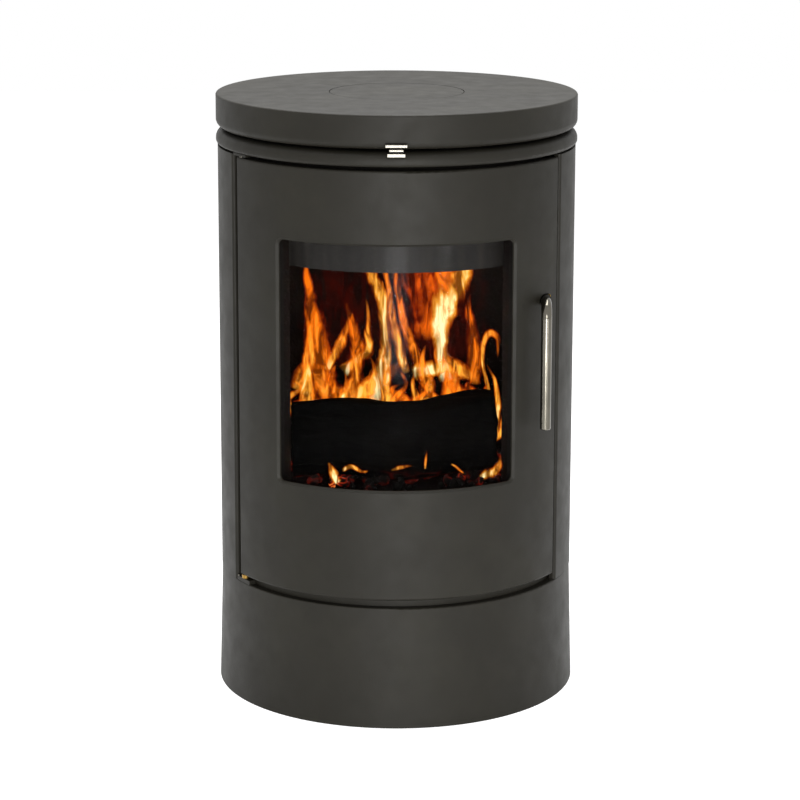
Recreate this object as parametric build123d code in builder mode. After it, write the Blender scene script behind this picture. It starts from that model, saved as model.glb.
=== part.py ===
from build123d import *
import os
from math import cos, degrees, hypot, radians, sin, sqrt

# A round cast iron wood stove, as separate pieces, in millimetres.
# The origin is on the floor on the stove's upright axis: up is +Z and the door faces -Y.
# Angles count from the middle of the door, positive towards +X.

# Overall form
stove_height = 752.0
body_radius = 223.0
plinth_height = 151.0
plinth_top_radius = 222.3
plinth_base_radius = 226.5
plinth_wall = 7.0
plinth_deck_thickness = 7.0
plinth_deck_bore = 150.0
plinth_edge_radius = 1.5

# Clearances and fits
seat_gap = 0.3
running_clearance = 0.08
press_clearance = 0.02
thread_clearance = 0.05
screw_clearance = 0.3
head_gap = 0.1
cut_margin = 5.0
edge_tolerance = 0.01

# Top plate and its flue cover
top_plate_radius = 225.0
top_plate_depth = 41.0
top_skin = 12.0
top_skirt = 11.0
top_edge_radius = 2.5
top_lower_radius = 9.5
cover_radius = 83.6
cover_depth = 8.0
cover_joint = 0.8
cover_ledge = 8.0
cover_edge_radius = 0.8
cover_rim_thickness = 5.0
cover_rim_depth = 7.0
cover_rim_play = 3.0

# Ring under the top plate, with the flange that the plate's rim stands on
ring_radius = 225.0
ring_gap = 3.0
ring_height = 18.0
ring_shoulder_radius = 11.0
ring_lower_radius = 5.0
ring_bore = 200.0
flange_bore = 186.0
flange_thickness = 8.0
rim_thickness = 8.0
rim_play = 1.5

# Side panels
panel_thickness = 8.0
panel_edge_radius = 3.5
panel_front_angle = 63.2
panel_rear_angle = 145.5
panel_top_gap = 2.0

# Door, its window and its seals
hinge_gap_angle = 2.9
latch_gap_angle = 1.5
door_thickness = 10.0
door_lower_gap = 10.0
door_upper_gap = 4.5
door_edge_radius = 2.5
window_half_angle = 39.7
window_sill_height = 297.6
window_height = 298.0
window_corner_radius = 7.0
window_bevel = 2.8
window_lip = 5.0
glass_thickness = 4.0
glass_overlap = 11.0
glass_play = 0.5
tape_gap = 0.1
tape_thickness = 0.7
tape_width = 8.0
rope_outer_angle = 49.8
rope_width = 9.0
rope_corner_radius = 14.0
rope_edge_gap = 6.0
rope_play = 0.1
channel_wall = 3.0
channel_depth = 5.4
clip_angles = (-30.0, 0.0, 30.0)
clip_width = 22.0
clip_thickness = 2.0
clip_hold = 6.0
clip_foot = 10.0
clip_screw_length = 9.0

# Hinges
hinge_angle = -59.0
hinge_set_in = 5.0
hinge_pin_radius = 3.0
hinge_pin_grip = 22.0
bracket_half_angle = 4.0
bracket_front_inset = 1.0
upper_bracket_back = 205.0
upper_bracket_thickness = 3.0
lower_bracket_back = 212.6
lower_bracket_thickness = 5.0
washer_radius = 4.8
hinge_screw_radius = 1.5
hinge_screw_height = 1.6
hinge_screw_angle = 3.4
hinge_screw_inset = 2.2

# Handle and latch
handle_offset = 181.5
handle_height = 514.5
rod_radius = 6.5
rod_play = 0.8
rod_bend_radius = 18.0
rod_stand_off = 161.0
rod_end_height = 360.0
rod_end_chamfer = 0.8
bush_length = 9.0
boss_wall = 4.0
boss_back = 101.0
spindle_radius = 4.0
cam_gap = 0.5
cam_thickness = 5.0
cam_hub_radius = 7.0
cam_reach = 13.0
cam_lean = 25.0
cam_tip_radius = 3.0
cam_nut_radius = 6.0
cam_nut_thickness = 4.0
keeper_start_angle = 58.0
keeper_end_angle = 62.0
keeper_depth = 12.0
keeper_height = 14.0
keeper_clearance = 1.0

# Firebox drum, its front frame and its lid
drum_radius = 196.0
drum_wall = 5.0
drum_front_angle = 50.0
drum_ledge_width = 8.0
drum_ledge_height = 5.0
base_plate_radius = 212.0
base_plate_thickness = 7.0
lid_thickness = 6.0
lid_play = 0.5
outlet_radius = 74.0
blank_radius = 86.0
blank_thickness = 5.0
blank_bolt_circle = 80.0
frame_thickness = 7.7
frame_half_angle = 54.5
frame_top_gap = 0.5
frame_screw_angle = 52.3
frame_screw_heights = (195.0, 420.0, 655.0)
mouth_half_angle = 44.0
mouth_sill = 276.0
mouth_top = 640.0
mouth_corner_radius = 12.0
ash_mouth_half_angle = 33.0
ash_mouth_sill = 180.0
ash_mouth_top = 240.0
ash_mouth_corner_radius = 6.0
lever_slot_half_angle = 17.0
lever_slot_height = 11.0
lever_slot_corner_radius = 3.0

# Lining, hearth and grate
hearth_height = 270.0
hearth_thickness = 8.0
lining_play = 0.5
brick_thickness = 25.0
brick_front_angle = 52.0
brick_corner_angle = 118.0
brick_joint_angle = 0.2
baffle_slope = 15.0
baffle_rear_height = 508.0
baffle_thickness = 14.0
baffle_front_reach = 122.0
grate_radius = 62.0
grate_play = 1.0
grate_thickness = 9.0
grate_slot_width = 8.0
grate_slot_pitch = 17.0
grate_slot_count = 5
grate_web = 9.0
grate_rest_overlap = 5.0
grate_rest_thickness = 5.0
grate_rest_wall = 7.0
lever_width = 9.0
lever_thickness = 4.0
lever_drop = 8.0
lever_post_radius = 6.0
lever_post_offset = 47.0
lever_door_gap = 6.5
lever_eye_radius = 2.2
guard_thickness = 5.0
guard_half_angle = 41.0
guard_height = 16.0
guard_set_back = 5.0
wash_half_angle = 41.3
wash_thickness = 2.5
wash_lower_edge = 559.5
wash_overlap = 22.0
wash_screw_angles = (-28.0, 28.0)

# Ash pan
pan_half_width = 99.0
pan_front_reach = 172.0
pan_back_reach = 70.0
pan_height = 54.0
pan_wall = 2.5
pan_corner_radius = 6.0
pan_sill_gap = 0.6
pan_handle_reach = 26.0
pan_handle_half_width = 30.0
pan_handle_radius = 3.0
pan_handle_bend_radius = 9.0
pan_handle_drop = 20.0
rail_width = 14.0
rail_inset = 15.0
rail_end_gap = 7.0

# Rear of the stove
rear_sheet_thickness = 2.0
rear_sheet_lift = 1.0
rear_joint_angle = 0.5
rear_lap_angle = 6.0
rear_screw_inset_angle = 3.2
rear_screw_length = 7.0
rear_screw_heights = (190.0, 420.0, 655.0)
vent_width = 90.0
vent_height = 6.0
vent_pitch = 18.0
vent_count = 5
vent_lowest = 200.0
flue_height = 595.0
spigot_radius = 74.5
spigot_wall = 3.5
spigot_reach = 268.0
spigot_free_length = 45.0
spigot_shoulder = 2.0
flue_flange_radius = 88.5
flue_flange_thickness = 5.0
flue_bolt_circle = 82.6
flue_bolt_angles = (45.0, 135.0, 225.0, 315.0)
flue_collar_face = 197.5
flue_hole_play = 3.5

# Air control
slide_width = 32.0
slide_thickness = 2.0
slide_play = 0.6
riser_thickness = 2.0
tongue_half_width = 6.5
tongue_clearance = 0.5
tongue_way_angle = 17.0
port_angles = (-60.0, -36.0, 36.0, 60.0)
port_radius = 168.0
port_width = 14.0
port_sweep = 14.0
knob_clearance = 0.9
knob_back_thickness = 1.6
knob_depth = 5.0
knob_rise = 6.8
knob_top_width = 26.0
knob_middle_width = 17.0
knob_lower_width = 21.5
knob_top_height = 3.4
knob_middle_height = 2.6
knob_lower_height = 4.4
knob_groove = 2.2
knob_edge_radius = 0.6

# Fasteners
tie_rod_radius = 4.0
tie_rod_circle = 206.5
tie_rod_angles = (-138.0, -78.0, 78.0, 138.0)
tie_rod_end = 2.0
tie_nut_radius = 6.5
tie_nut_height = 6.0
small_screw_radius = 2.0
small_screw_length = 11.0
small_head_radius = 4.0
small_head_height = 2.0
wash_screw_length = 8.0
bolt_radius = 3.0
bolt_length = 12.0
bolt_head_radius = 5.5
bolt_head_height = 3.5
bolt_angles = (-90.0, 0.0, 90.0, 180.0)
plinth_bolt_circle = 172.0

# Heights and radii that follow from the sizes above
plate_bottom = stove_height - top_plate_depth
skin_bottom = stove_height - top_skin
ring_top = plate_bottom - ring_gap
ring_bottom = ring_top - ring_height
flange_top = ring_bottom + flange_thickness
lid_bottom = ring_bottom - lid_thickness
deck_bottom = plinth_height - plinth_deck_thickness
base_top = plinth_height + base_plate_thickness
panel_inner = body_radius - panel_thickness
panel_top = ring_bottom - panel_top_gap
door_bottom = plinth_height + door_lower_gap
door_top = ring_bottom - door_upper_gap
door_inner = body_radius - door_thickness
door_left = hinge_gap_angle - panel_front_angle
door_right = panel_front_angle - latch_gap_angle
window_top = window_sill_height + window_height
lip_inner = body_radius - window_lip
tape_outer = lip_inner - tape_gap
tape_inner = tape_outer - tape_thickness
glass_outer = tape_inner - tape_gap
glass_inner = glass_outer - glass_thickness
drum_inner = drum_radius - drum_wall
frame_inner = drum_radius + seat_gap
frame_outer = frame_inner + frame_thickness
frame_top = ring_bottom - frame_top_gap
rope_inner = frame_outer + seat_gap
rope_outer = door_inner - rope_play
rope_bottom = door_bottom + rope_edge_gap
rope_top = door_top - rope_edge_gap
hinge_radius = body_radius - hinge_set_in
lining_outer = drum_inner - lining_play
lining_inner = lining_outer - brick_thickness
hearth_bottom = hearth_height - hearth_thickness
grate_bottom = hearth_height - grate_thickness
pan_bottom = ash_mouth_sill + pan_sill_gap
lever_top = grate_bottom - lever_drop
lever_bottom = lever_top - lever_thickness
tongue_bottom = ring_top + tongue_clearance
tongue_top = plate_bottom - tongue_clearance
knob_back = top_plate_radius + knob_clearance
bolt_hole = bolt_radius + thread_clearance
small_hole = small_screw_radius + thread_clearance


def at(radius, angle, height=0.0):
    """The point at this radius, angle and height."""
    turn = radians(angle)
    return Vector(radius * sin(turn), -radius * cos(turn), height)


def facing(radius, angle, height, way=1):
    """A plane at that point that looks out from the stove's axis, or in if way is -1."""
    turn = radians(angle)
    outward = Vector(way * sin(turn), -way * cos(turn), 0)
    return Plane(origin=at(radius, angle, height), x_dir=(0, 0, 1), z_dir=outward)


def arc_angle(length, radius):
    """The angle that an arc of this length covers."""
    return degrees(length / radius)


def sector(inner, outer, start, end):
    """A flat face between two radii and two angles."""
    with BuildSketch() as face:
        with BuildLine():
            outer_arc = CenterArc((0, 0), outer, start - 90, end - start)
            inner_arc = CenterArc((0, 0), inner, start - 90, end - start)
            Line(outer_arc @ 0, inner_arc @ 0)
            Line(outer_arc @ 1, inner_arc @ 1)
        make_face()
    return face.sketch


def curved_block(inner, outer, start, end, bottom, top, corner=0.0):
    """A piece of round wall. Its four corners can be rounded as seen from the front."""
    with BuildPart() as block:
        with BuildSketch(Plane.XY.offset(bottom)):
            add(sector(inner, outer, start, end))
        extrude(amount=top - bottom)
        if corner:
            fillet(block.edges().filter_by(GeomType.LINE).filter_by(Axis.Z, reverse=True), corner)
    return block.part


def curved_frame(inner, outer, half_angle, bottom, top, width, corner):
    """A frame of even width round a curved opening."""
    turn = arc_angle(width, outer)
    with BuildPart() as frame:
        add(curved_block(inner, outer, -half_angle, half_angle, bottom, top, corner))
        add(
            curved_block(
                inner - width,
                outer + width,
                turn - half_angle,
                half_angle - turn,
                bottom + width,
                top - width,
                corner - width,
            ),
            mode=Mode.SUBTRACT,
        )
    return frame.part


def edges_at(piece, radius):
    """The edges of a curved wall that lie on its face at this radius."""

    def on_face(edge):
        ends = (edge @ 0, edge @ 0.5, edge @ 1)
        return all(abs(hypot(end.X, end.Y) - radius) < edge_tolerance for end in ends)

    return piece.edges().filter_by(on_face)


def beside_window(edge):
    """Whether this edge of the door lies on the window's outline."""
    middle = edge @ 0.5
    reach = body_radius * sin(radians(window_half_angle)) + edge_tolerance
    lowest = window_sill_height - edge_tolerance
    highest = window_top + edge_tolerance
    return abs(middle.X) < reach and lowest < middle.Z < highest


def screws_on(places, shank_radius, shank_length, head_radius, head_height, sides=0):
    """Screws with their heads on these planes and their shanks behind them."""
    with BuildPart() as screws:
        for place in places:
            with BuildSketch(place):
                if sides:
                    RegularPolygon(head_radius, sides)
                else:
                    Circle(head_radius)
            extrude(amount=head_height)
            with BuildSketch(place):
                Circle(shank_radius)
            extrude(amount=-shank_length)
    return screws.part


def bolts_on(places):
    """Hexagon bolts on these planes."""
    return screws_on(places, bolt_radius, bolt_length, bolt_head_radius, bolt_head_height, 6)


def save(piece, name):
    """Labels a finished piece and writes it to its own file."""
    piece.label = name
    export_step(piece, f"parts/{name}.step")


os.makedirs("parts", exist_ok=True)

# Plinth: a tapered cast ring with a deck
plinth_bolt_places = [
    Plane(origin=at(plinth_bolt_circle, angle, base_top)) for angle in bolt_angles
]
with BuildPart() as plinth:
    with BuildSketch(Plane.XZ):
        with BuildLine():
            Polyline(
                (plinth_base_radius, 0),
                (plinth_top_radius, plinth_height),
                (plinth_deck_bore, plinth_height),
                (plinth_deck_bore, deck_bottom),
                (plinth_top_radius - plinth_wall, deck_bottom),
                (plinth_base_radius - plinth_wall, 0),
                close=True,
            )
        make_face()
    revolve(axis=Axis.Z)
    deck_edges = plinth.edges().filter_by(GeomType.CIRCLE).group_by(Axis.Z)[-1]
    fillet(deck_edges.sort_by(SortBy.RADIUS)[-1], plinth_edge_radius)
    with Locations(*plinth_bolt_places):
        Hole(bolt_hole, bolt_length + thread_clearance)
save(plinth.part, "plinth")

# Base plate: a disc bolted on the plinth, which carries the drum, the frame and the tie rods
tie_rod_places = [at(tie_rod_circle, angle, ring_top) for angle in tie_rod_angles]
with BuildPart() as base_plate:
    with BuildSketch(Plane.XY.offset(plinth_height)):
        Circle(base_plate_radius)
        with Locations(*[at(tie_rod_circle, angle) for angle in tie_rod_angles]):
            Circle(tie_rod_radius + thread_clearance, mode=Mode.SUBTRACT)
    extrude(amount=base_plate_thickness)
    with Locations(*plinth_bolt_places):
        Hole(bolt_hole, base_plate_thickness)
save(base_plate.part, "base_plate")
save(bolts_on(plinth_bolt_places), "plinth_bolts")

# Firebox drum: a round shell, open at the front, with a ledge for the hearth
# and a collar at the back with a flat face for the flue spigot
flue_bolt_places = [
    Plane(
        origin=(
            flue_bolt_circle * cos(radians(angle)),
            flue_collar_face + flue_flange_thickness,
            flue_height + flue_bolt_circle * sin(radians(angle)),
        ),
        z_dir=(0, 1, 0),
    )
    for angle in flue_bolt_angles
]
frame_screw_places = [
    facing(frame_outer, angle, height)
    for angle in (-frame_screw_angle, frame_screw_angle)
    for height in frame_screw_heights
]
keeper_bottom = handle_height + cam_reach + keeper_clearance
keeper_inner = drum_radius + seat_gap
keeper_screw_place = facing(
    keeper_inner + keeper_depth,
    (keeper_start_angle + keeper_end_angle) / 2,
    keeper_bottom + keeper_height / 2,
)
keeper_screw_length = keeper_depth + drum_wall - seat_gap
flue_collar_plane = Plane.XZ.offset(-flue_collar_face)
with BuildPart() as firebox_drum:
    with BuildSketch(flue_collar_plane):
        with Locations((0, flue_height)):
            Circle(flue_flange_radius)
    extrude(amount=flue_collar_face / 2)
    with BuildSketch(Plane.XY.offset(base_top)):
        add(sector(drum_inner, drum_radius, drum_front_angle, 360 - drum_front_angle))
    extrude(amount=lid_bottom - base_top)
    with BuildSketch(Plane.XY.offset(base_top)):
        Circle(drum_inner)
    extrude(amount=lid_bottom - base_top, mode=Mode.SUBTRACT)
    with BuildSketch(Plane.XY.offset(hearth_bottom)):
        add(
            sector(
                drum_inner - drum_ledge_width,
                drum_radius - seat_gap,
                drum_front_angle,
                360 - drum_front_angle,
            )
        )
    extrude(amount=-drum_ledge_height)
    with BuildSketch(flue_collar_plane):
        with Locations((0, flue_height)):
            Circle(spigot_radius - spigot_wall)
    extrude(amount=flue_collar_face / 2, mode=Mode.SUBTRACT)
    with Locations(*flue_bolt_places):
        Hole(bolt_hole, bolt_length + thread_clearance)
    with Locations(*frame_screw_places):
        Hole(small_hole, small_screw_length + thread_clearance)
    with Locations(keeper_screw_place):
        Hole(small_hole, keeper_screw_length + thread_clearance)
save(firebox_drum.part, "firebox_drum")

# Front frame: a curved plate with the fire mouth, the ash mouth and the slot for the lever
lever_middle = (lever_top + lever_bottom) / 2
wash_outer = frame_inner - seat_gap
wash_inner = wash_outer - wash_thickness
wash_screw_places = [
    facing(wash_inner - head_gap, angle, mouth_top + wash_overlap / 2, way=-1)
    for angle in wash_screw_angles
]
frame_openings = (
    (mouth_half_angle, mouth_sill, mouth_top, mouth_corner_radius),
    (ash_mouth_half_angle, ash_mouth_sill, ash_mouth_top, ash_mouth_corner_radius),
    (
        lever_slot_half_angle,
        lever_middle - lever_slot_height / 2,
        lever_middle + lever_slot_height / 2,
        lever_slot_corner_radius,
    ),
)
with BuildPart() as front_frame:
    add(
        curved_block(
            frame_inner, frame_outer, -frame_half_angle, frame_half_angle, base_top, frame_top
        )
    )
    for half_angle, sill, head, corner in frame_openings:
        add(
            curved_block(
                frame_inner - cut_margin,
                frame_outer + cut_margin,
                -half_angle,
                half_angle,
                sill,
                head,
                corner,
            ),
            mode=Mode.SUBTRACT,
        )
    with Locations(*frame_screw_places):
        Hole(small_hole, small_screw_length)
    with Locations(*wash_screw_places):
        Hole(small_hole, wash_screw_length + thread_clearance)
save(front_frame.part, "front_frame")
save(
    screws_on(
        frame_screw_places,
        small_screw_radius,
        small_screw_length,
        small_head_radius,
        small_head_height,
    ),
    "frame_screws",
)

# Air wash plate: screwed behind the top of the fire mouth
with BuildPart() as air_wash_plate:
    add(
        curved_block(
            wash_inner,
            wash_outer,
            -wash_half_angle,
            wash_half_angle,
            wash_lower_edge,
            mouth_top + wash_overlap,
        )
    )
    with Locations(*wash_screw_places):
        Hole(small_hole, wash_screw_length)
save(air_wash_plate.part, "air_wash_plate")
save(
    screws_on(
        wash_screw_places,
        small_screw_radius,
        wash_screw_length,
        small_head_radius,
        small_head_height,
    ),
    "air_wash_screws",
)

# Firebox lid: a disc on the drum, with the upper outlet and the ports for the wash air
blank_bolt_places = [
    Plane(origin=at(blank_bolt_circle, angle, ring_bottom + blank_thickness))
    for angle in bolt_angles
]
port_inner = port_radius - port_width / 2
port_outer = port_radius + port_width / 2
with BuildPart() as firebox_lid:
    with BuildSketch(Plane.XY.offset(lid_bottom)):
        Circle(drum_radius - lid_play)
        Circle(outlet_radius, mode=Mode.SUBTRACT)
        for angle in port_angles:
            add(
                sector(port_inner, port_outer, angle - port_sweep / 2, angle + port_sweep / 2),
                mode=Mode.SUBTRACT,
            )
    extrude(amount=lid_thickness)
    with Locations(*blank_bolt_places):
        Hole(bolt_hole, bolt_length)
save(firebox_lid.part, "firebox_lid")

# Blanking plate: bolted over the upper outlet, because the flue leaves at the back
with BuildPart() as blanking_plate:
    with BuildSketch(Plane.XY.offset(ring_bottom)):
        Circle(blank_radius)
    extrude(amount=blank_thickness)
    with Locations(*blank_bolt_places):
        Hole(bolt_hole, blank_thickness)
save(blanking_plate.part, "blanking_plate")
save(bolts_on(blank_bolt_places), "blanking_bolts")

# Hearth plate: lies on the drum's ledge and carries the grate in a stepped hole
grate_hole = grate_radius + grate_play
grate_rest_top = grate_bottom - seat_gap
grate_rest_bottom = grate_rest_top - grate_rest_thickness
with BuildPart() as hearth_plate:
    with BuildSketch(Plane.XY.offset(hearth_bottom)):
        Circle(lining_outer)
    extrude(amount=hearth_thickness)
    with BuildSketch(Plane.XY.offset(grate_rest_bottom)):
        Circle(grate_hole + grate_rest_wall)
    extrude(amount=hearth_height - grate_rest_bottom)
    with BuildSketch(Plane.XY.offset(grate_rest_bottom)):
        Circle(grate_hole - grate_rest_overlap)
    extrude(amount=hearth_height - grate_rest_bottom, mode=Mode.SUBTRACT)
    with BuildSketch(Plane.XY.offset(grate_rest_top)):
        Circle(grate_hole)
    extrude(amount=hearth_height - grate_rest_top, mode=Mode.SUBTRACT)
save(hearth_plate.part, "hearth_plate")

# Bricks: three curved blocks round the fire, cut at the top to the slope of the baffle
slope = radians(baffle_slope)
baffle_plane = Plane(
    origin=(0, lining_outer, baffle_rear_height), x_dir=(1, 0, 0), z_dir=(0, sin(slope), cos(slope))
)
rear_brick_start = brick_corner_angle + brick_joint_angle
with BuildPart() as right_brick:
    add(
        curved_block(
            lining_inner,
            lining_outer,
            brick_front_angle,
            brick_corner_angle,
            hearth_height,
            lid_bottom,
        )
    )
    split(bisect_by=baffle_plane, keep=Keep.BOTTOM)
save(right_brick.part, "right_brick")
with BuildPart() as left_brick:
    mirror(right_brick.part, about=Plane.YZ)
save(left_brick.part, "left_brick")
with BuildPart() as rear_brick:
    add(
        curved_block(
            lining_inner,
            lining_outer,
            rear_brick_start,
            360 - rear_brick_start,
            hearth_height,
            lid_bottom,
        )
    )
    split(bisect_by=baffle_plane, keep=Keep.BOTTOM)
save(rear_brick.part, "rear_brick")

# Smoke baffle: a sloped plate on the bricks, straight at the front
with BuildPart() as smoke_baffle:
    with BuildSketch(Plane.XY.offset(hearth_height)):
        Circle(lining_outer)
    extrude(amount=lid_bottom - hearth_height)
    split(bisect_by=Plane.XZ.offset(baffle_front_reach), keep=Keep.BOTTOM)
    split(bisect_by=baffle_plane, keep=Keep.TOP)
    split(bisect_by=baffle_plane.offset(baffle_thickness), keep=Keep.BOTTOM)
save(smoke_baffle.part, "smoke_baffle")

# Log guard: a low curved bar on the hearth
guard_outer = lining_outer - guard_set_back
log_guard = curved_block(
    guard_outer - guard_thickness,
    guard_outer,
    -guard_half_angle,
    guard_half_angle,
    hearth_height,
    hearth_height + guard_height,
)
save(log_guard, "log_guard")

# Riddling grate: a slotted disc that turns in the hearth, with its lever to the front
slot_reach = grate_radius - grate_web
slot_rows = [
    (row - (grate_slot_count - 1) / 2) * grate_slot_pitch for row in range(grate_slot_count)
]
with BuildPart() as riddling_grate:
    with BuildSketch(Plane.XY.offset(grate_bottom)):
        Circle(grate_radius)
        for row in slot_rows:
            with Locations((0, row)):
                SlotOverall(2 * sqrt(slot_reach**2 - row**2), grate_slot_width, mode=Mode.SUBTRACT)
    extrude(amount=grate_thickness)
save(riddling_grate.part, "riddling_grate")
lever_tip = door_inner - lever_door_gap
lever_eye = lever_tip - lever_width / 2
with BuildPart() as riddle_lever:
    with BuildSketch(Plane.XY.offset(lever_bottom)):
        with Locations((0, -(lever_eye + lever_post_offset) / 2)):
            SlotCenterToCenter(lever_eye - lever_post_offset, lever_width, rotation=90)
        with Locations((0, -lever_post_offset)):
            Circle(lever_post_radius)
        with Locations((0, -lever_eye)):
            Circle(lever_eye_radius, mode=Mode.SUBTRACT)
    extrude(amount=lever_thickness)
    with BuildSketch(Plane.XY.offset(lever_top)):
        with Locations((0, -lever_post_offset)):
            Circle(lever_post_radius)
    extrude(amount=lever_drop)
save(riddle_lever.part, "riddle_lever")

# Ash pan: an open box on two rails, with a bent wire handle
pan_length = pan_front_reach + pan_back_reach
pan_middle = (pan_back_reach - pan_front_reach) / 2
rail_top = pan_bottom - seat_gap
with BuildPart() as pan_rails:
    with BuildSketch(Plane.XY.offset(base_top)):
        for side in (-1, 1):
            with Locations((side * (pan_half_width - rail_inset), pan_middle)):
                Rectangle(rail_width, pan_length - 2 * rail_end_gap)
    extrude(amount=rail_top - base_top)
save(pan_rails.part, "pan_rails")
with BuildPart() as ash_pan:
    with BuildSketch(Plane.XY.offset(pan_bottom)):
        with Locations((0, pan_middle)):
            RectangleRounded(2 * pan_half_width, pan_length, pan_corner_radius)
    extrude(amount=pan_height)
    with BuildSketch(Plane.XY.offset(pan_bottom + pan_wall)):
        with Locations((0, pan_middle)):
            RectangleRounded(
                2 * (pan_half_width - pan_wall),
                pan_length - 2 * pan_wall,
                pan_corner_radius - pan_wall,
            )
    extrude(amount=pan_height, mode=Mode.SUBTRACT)
save(ash_pan.part, "ash_pan")
pan_handle_height = pan_bottom + pan_height - pan_handle_drop
pan_handle_front = pan_front_reach + pan_handle_reach
with BuildPart() as ash_pan_handle:
    with BuildLine(Plane.XY.offset(pan_handle_height)):
        FilletPolyline(
            (-pan_handle_half_width, -pan_front_reach),
            (-pan_handle_half_width, -pan_handle_front),
            (pan_handle_half_width, -pan_handle_front),
            (pan_handle_half_width, -pan_front_reach),
            radius=pan_handle_bend_radius,
        )
    with BuildSketch(
        Plane(
            origin=(-pan_handle_half_width, -pan_front_reach, pan_handle_height), z_dir=(0, -1, 0)
        )
    ):
        Circle(pan_handle_radius)
    sweep()
save(ash_pan_handle.part, "ash_pan_handle")

# Top ring: a cast ring with a rounded shoulder, and a flange that clamps the lid down
with BuildPart() as top_ring:
    with BuildSketch(Plane.XZ):
        with BuildLine():
            Polyline(
                (ring_radius - ring_lower_radius, ring_bottom),
                (flange_bore, ring_bottom),
                (flange_bore, flange_top),
                (ring_bore, flange_top),
                (ring_bore, ring_top),
                (ring_radius - ring_shoulder_radius, ring_top),
            )
            CenterArc(
                (ring_radius - ring_shoulder_radius, ring_top - ring_shoulder_radius),
                ring_shoulder_radius,
                0,
                90,
            )
            Line(
                (ring_radius, ring_top - ring_shoulder_radius),
                (ring_radius, ring_bottom + ring_lower_radius),
            )
            CenterArc(
                (ring_radius - ring_lower_radius, ring_bottom + ring_lower_radius),
                ring_lower_radius,
                270,
                90,
            )
        make_face()
    revolve(axis=Axis.Z)
    with Locations(*tie_rod_places):
        Hole(tie_rod_radius + screw_clearance, ring_height)
save(top_ring.part, "top_ring")

# Tie rods and their nuts: they pull the ring, the lid and the drum down on the base plate
with BuildPart() as tie_rods:
    for angle in tie_rod_angles:
        with BuildSketch(Plane(origin=at(tie_rod_circle, angle, plinth_height + seat_gap))):
            Circle(tie_rod_radius)
        extrude(amount=ring_top + tie_nut_height + tie_rod_end - plinth_height - seat_gap)
save(tie_rods.part, "tie_rods")
with BuildPart() as tie_rod_nuts:
    for place in tie_rod_places:
        with BuildSketch(Plane(origin=place)):
            RegularPolygon(tie_nut_radius, 6)
            Circle(tie_rod_radius + thread_clearance, mode=Mode.SUBTRACT)
        extrude(amount=tie_nut_height)
save(tie_rod_nuts.part, "tie_rod_nuts")

# Top plate: a deep cast plate with a skirt, a rim that stands on the ring's flange,
# and a stepped hole for the flue cover
rim_outer = ring_bore - rim_play
rim_inner = rim_outer - rim_thickness
cover_hole = cover_radius + cover_joint
cover_seat_top = stove_height - cover_depth
cover_way = cover_hole - cover_ledge
with BuildPart() as top_plate:
    with BuildSketch(Plane.XZ):
        with BuildLine():
            Polyline(
                (top_plate_radius - top_lower_radius, plate_bottom),
                (top_plate_radius - top_skirt, plate_bottom),
                (top_plate_radius - top_skirt, skin_bottom),
                (rim_outer, skin_bottom),
                (rim_outer, flange_top),
                (rim_inner, flange_top),
                (rim_inner, skin_bottom),
                (cover_way, skin_bottom),
                (cover_way, cover_seat_top),
                (cover_hole, cover_seat_top),
                (cover_hole, stove_height),
                (top_plate_radius - top_edge_radius, stove_height),
            )
            CenterArc(
                (top_plate_radius - top_edge_radius, stove_height - top_edge_radius),
                top_edge_radius,
                0,
                90,
            )
            Line(
                (top_plate_radius, stove_height - top_edge_radius),
                (top_plate_radius, plate_bottom + top_lower_radius),
            )
            CenterArc(
                (top_plate_radius - top_lower_radius, plate_bottom + top_lower_radius),
                top_lower_radius,
                270,
                90,
            )
        make_face()
    revolve(axis=Axis.Z)
    add(
        curved_block(
            rim_inner - cut_margin,
            rim_outer + cut_margin,
            -tongue_way_angle,
            tongue_way_angle,
            flange_top,
            skin_bottom,
        ),
        mode=Mode.SUBTRACT,
    )
save(top_plate.part, "top_plate")

# Flue cover: a disc flush with the top plate, kept in place by a ring under it
cover_rim_radius = cover_way - cover_rim_play
with BuildPart() as flue_cover:
    with BuildSketch(Plane.XY.offset(cover_seat_top + seat_gap)):
        Circle(cover_radius)
    extrude(amount=cover_depth - seat_gap)
    cover_edges = flue_cover.edges().filter_by(GeomType.CIRCLE).group_by(Axis.Z)[-1]
    fillet(cover_edges, cover_edge_radius)
    with BuildSketch(Plane.XY.offset(cover_seat_top + seat_gap)):
        Circle(cover_rim_radius)
        Circle(cover_rim_radius - cover_rim_thickness, mode=Mode.SUBTRACT)
    extrude(amount=-cover_rim_depth)
save(flue_cover.part, "flue_cover")

# Air slide: a flat ring with ports on the lid, and a tongue that comes out above the top ring
slide_outer = flange_bore - slide_play
slide_bottom = ring_bottom + seat_gap
riser_front = sqrt(slide_outer**2 - tongue_half_width**2)
with BuildPart() as air_slide:
    with BuildSketch(Plane.XY.offset(slide_bottom)):
        Circle(slide_outer)
        Circle(slide_outer - slide_width, mode=Mode.SUBTRACT)
        for angle in port_angles:
            add(
                sector(port_inner, port_outer, angle - port_sweep / 2, angle + port_sweep / 2),
                mode=Mode.SUBTRACT,
            )
    extrude(amount=slide_thickness)
    with BuildSketch(Plane.XY.offset(slide_bottom)):
        with Locations((0, riser_thickness / 2 - riser_front)):
            Rectangle(2 * tongue_half_width, riser_thickness)
    extrude(amount=tongue_top - slide_bottom)
    with BuildSketch(Plane.XY.offset(tongue_bottom)):
        with Locations((0, (riser_thickness - riser_front - knob_back) / 2)):
            Rectangle(2 * tongue_half_width, knob_back - riser_front + riser_thickness)
    extrude(amount=tongue_top - tongue_bottom)
save(air_slide.part, "air_slide")

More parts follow.
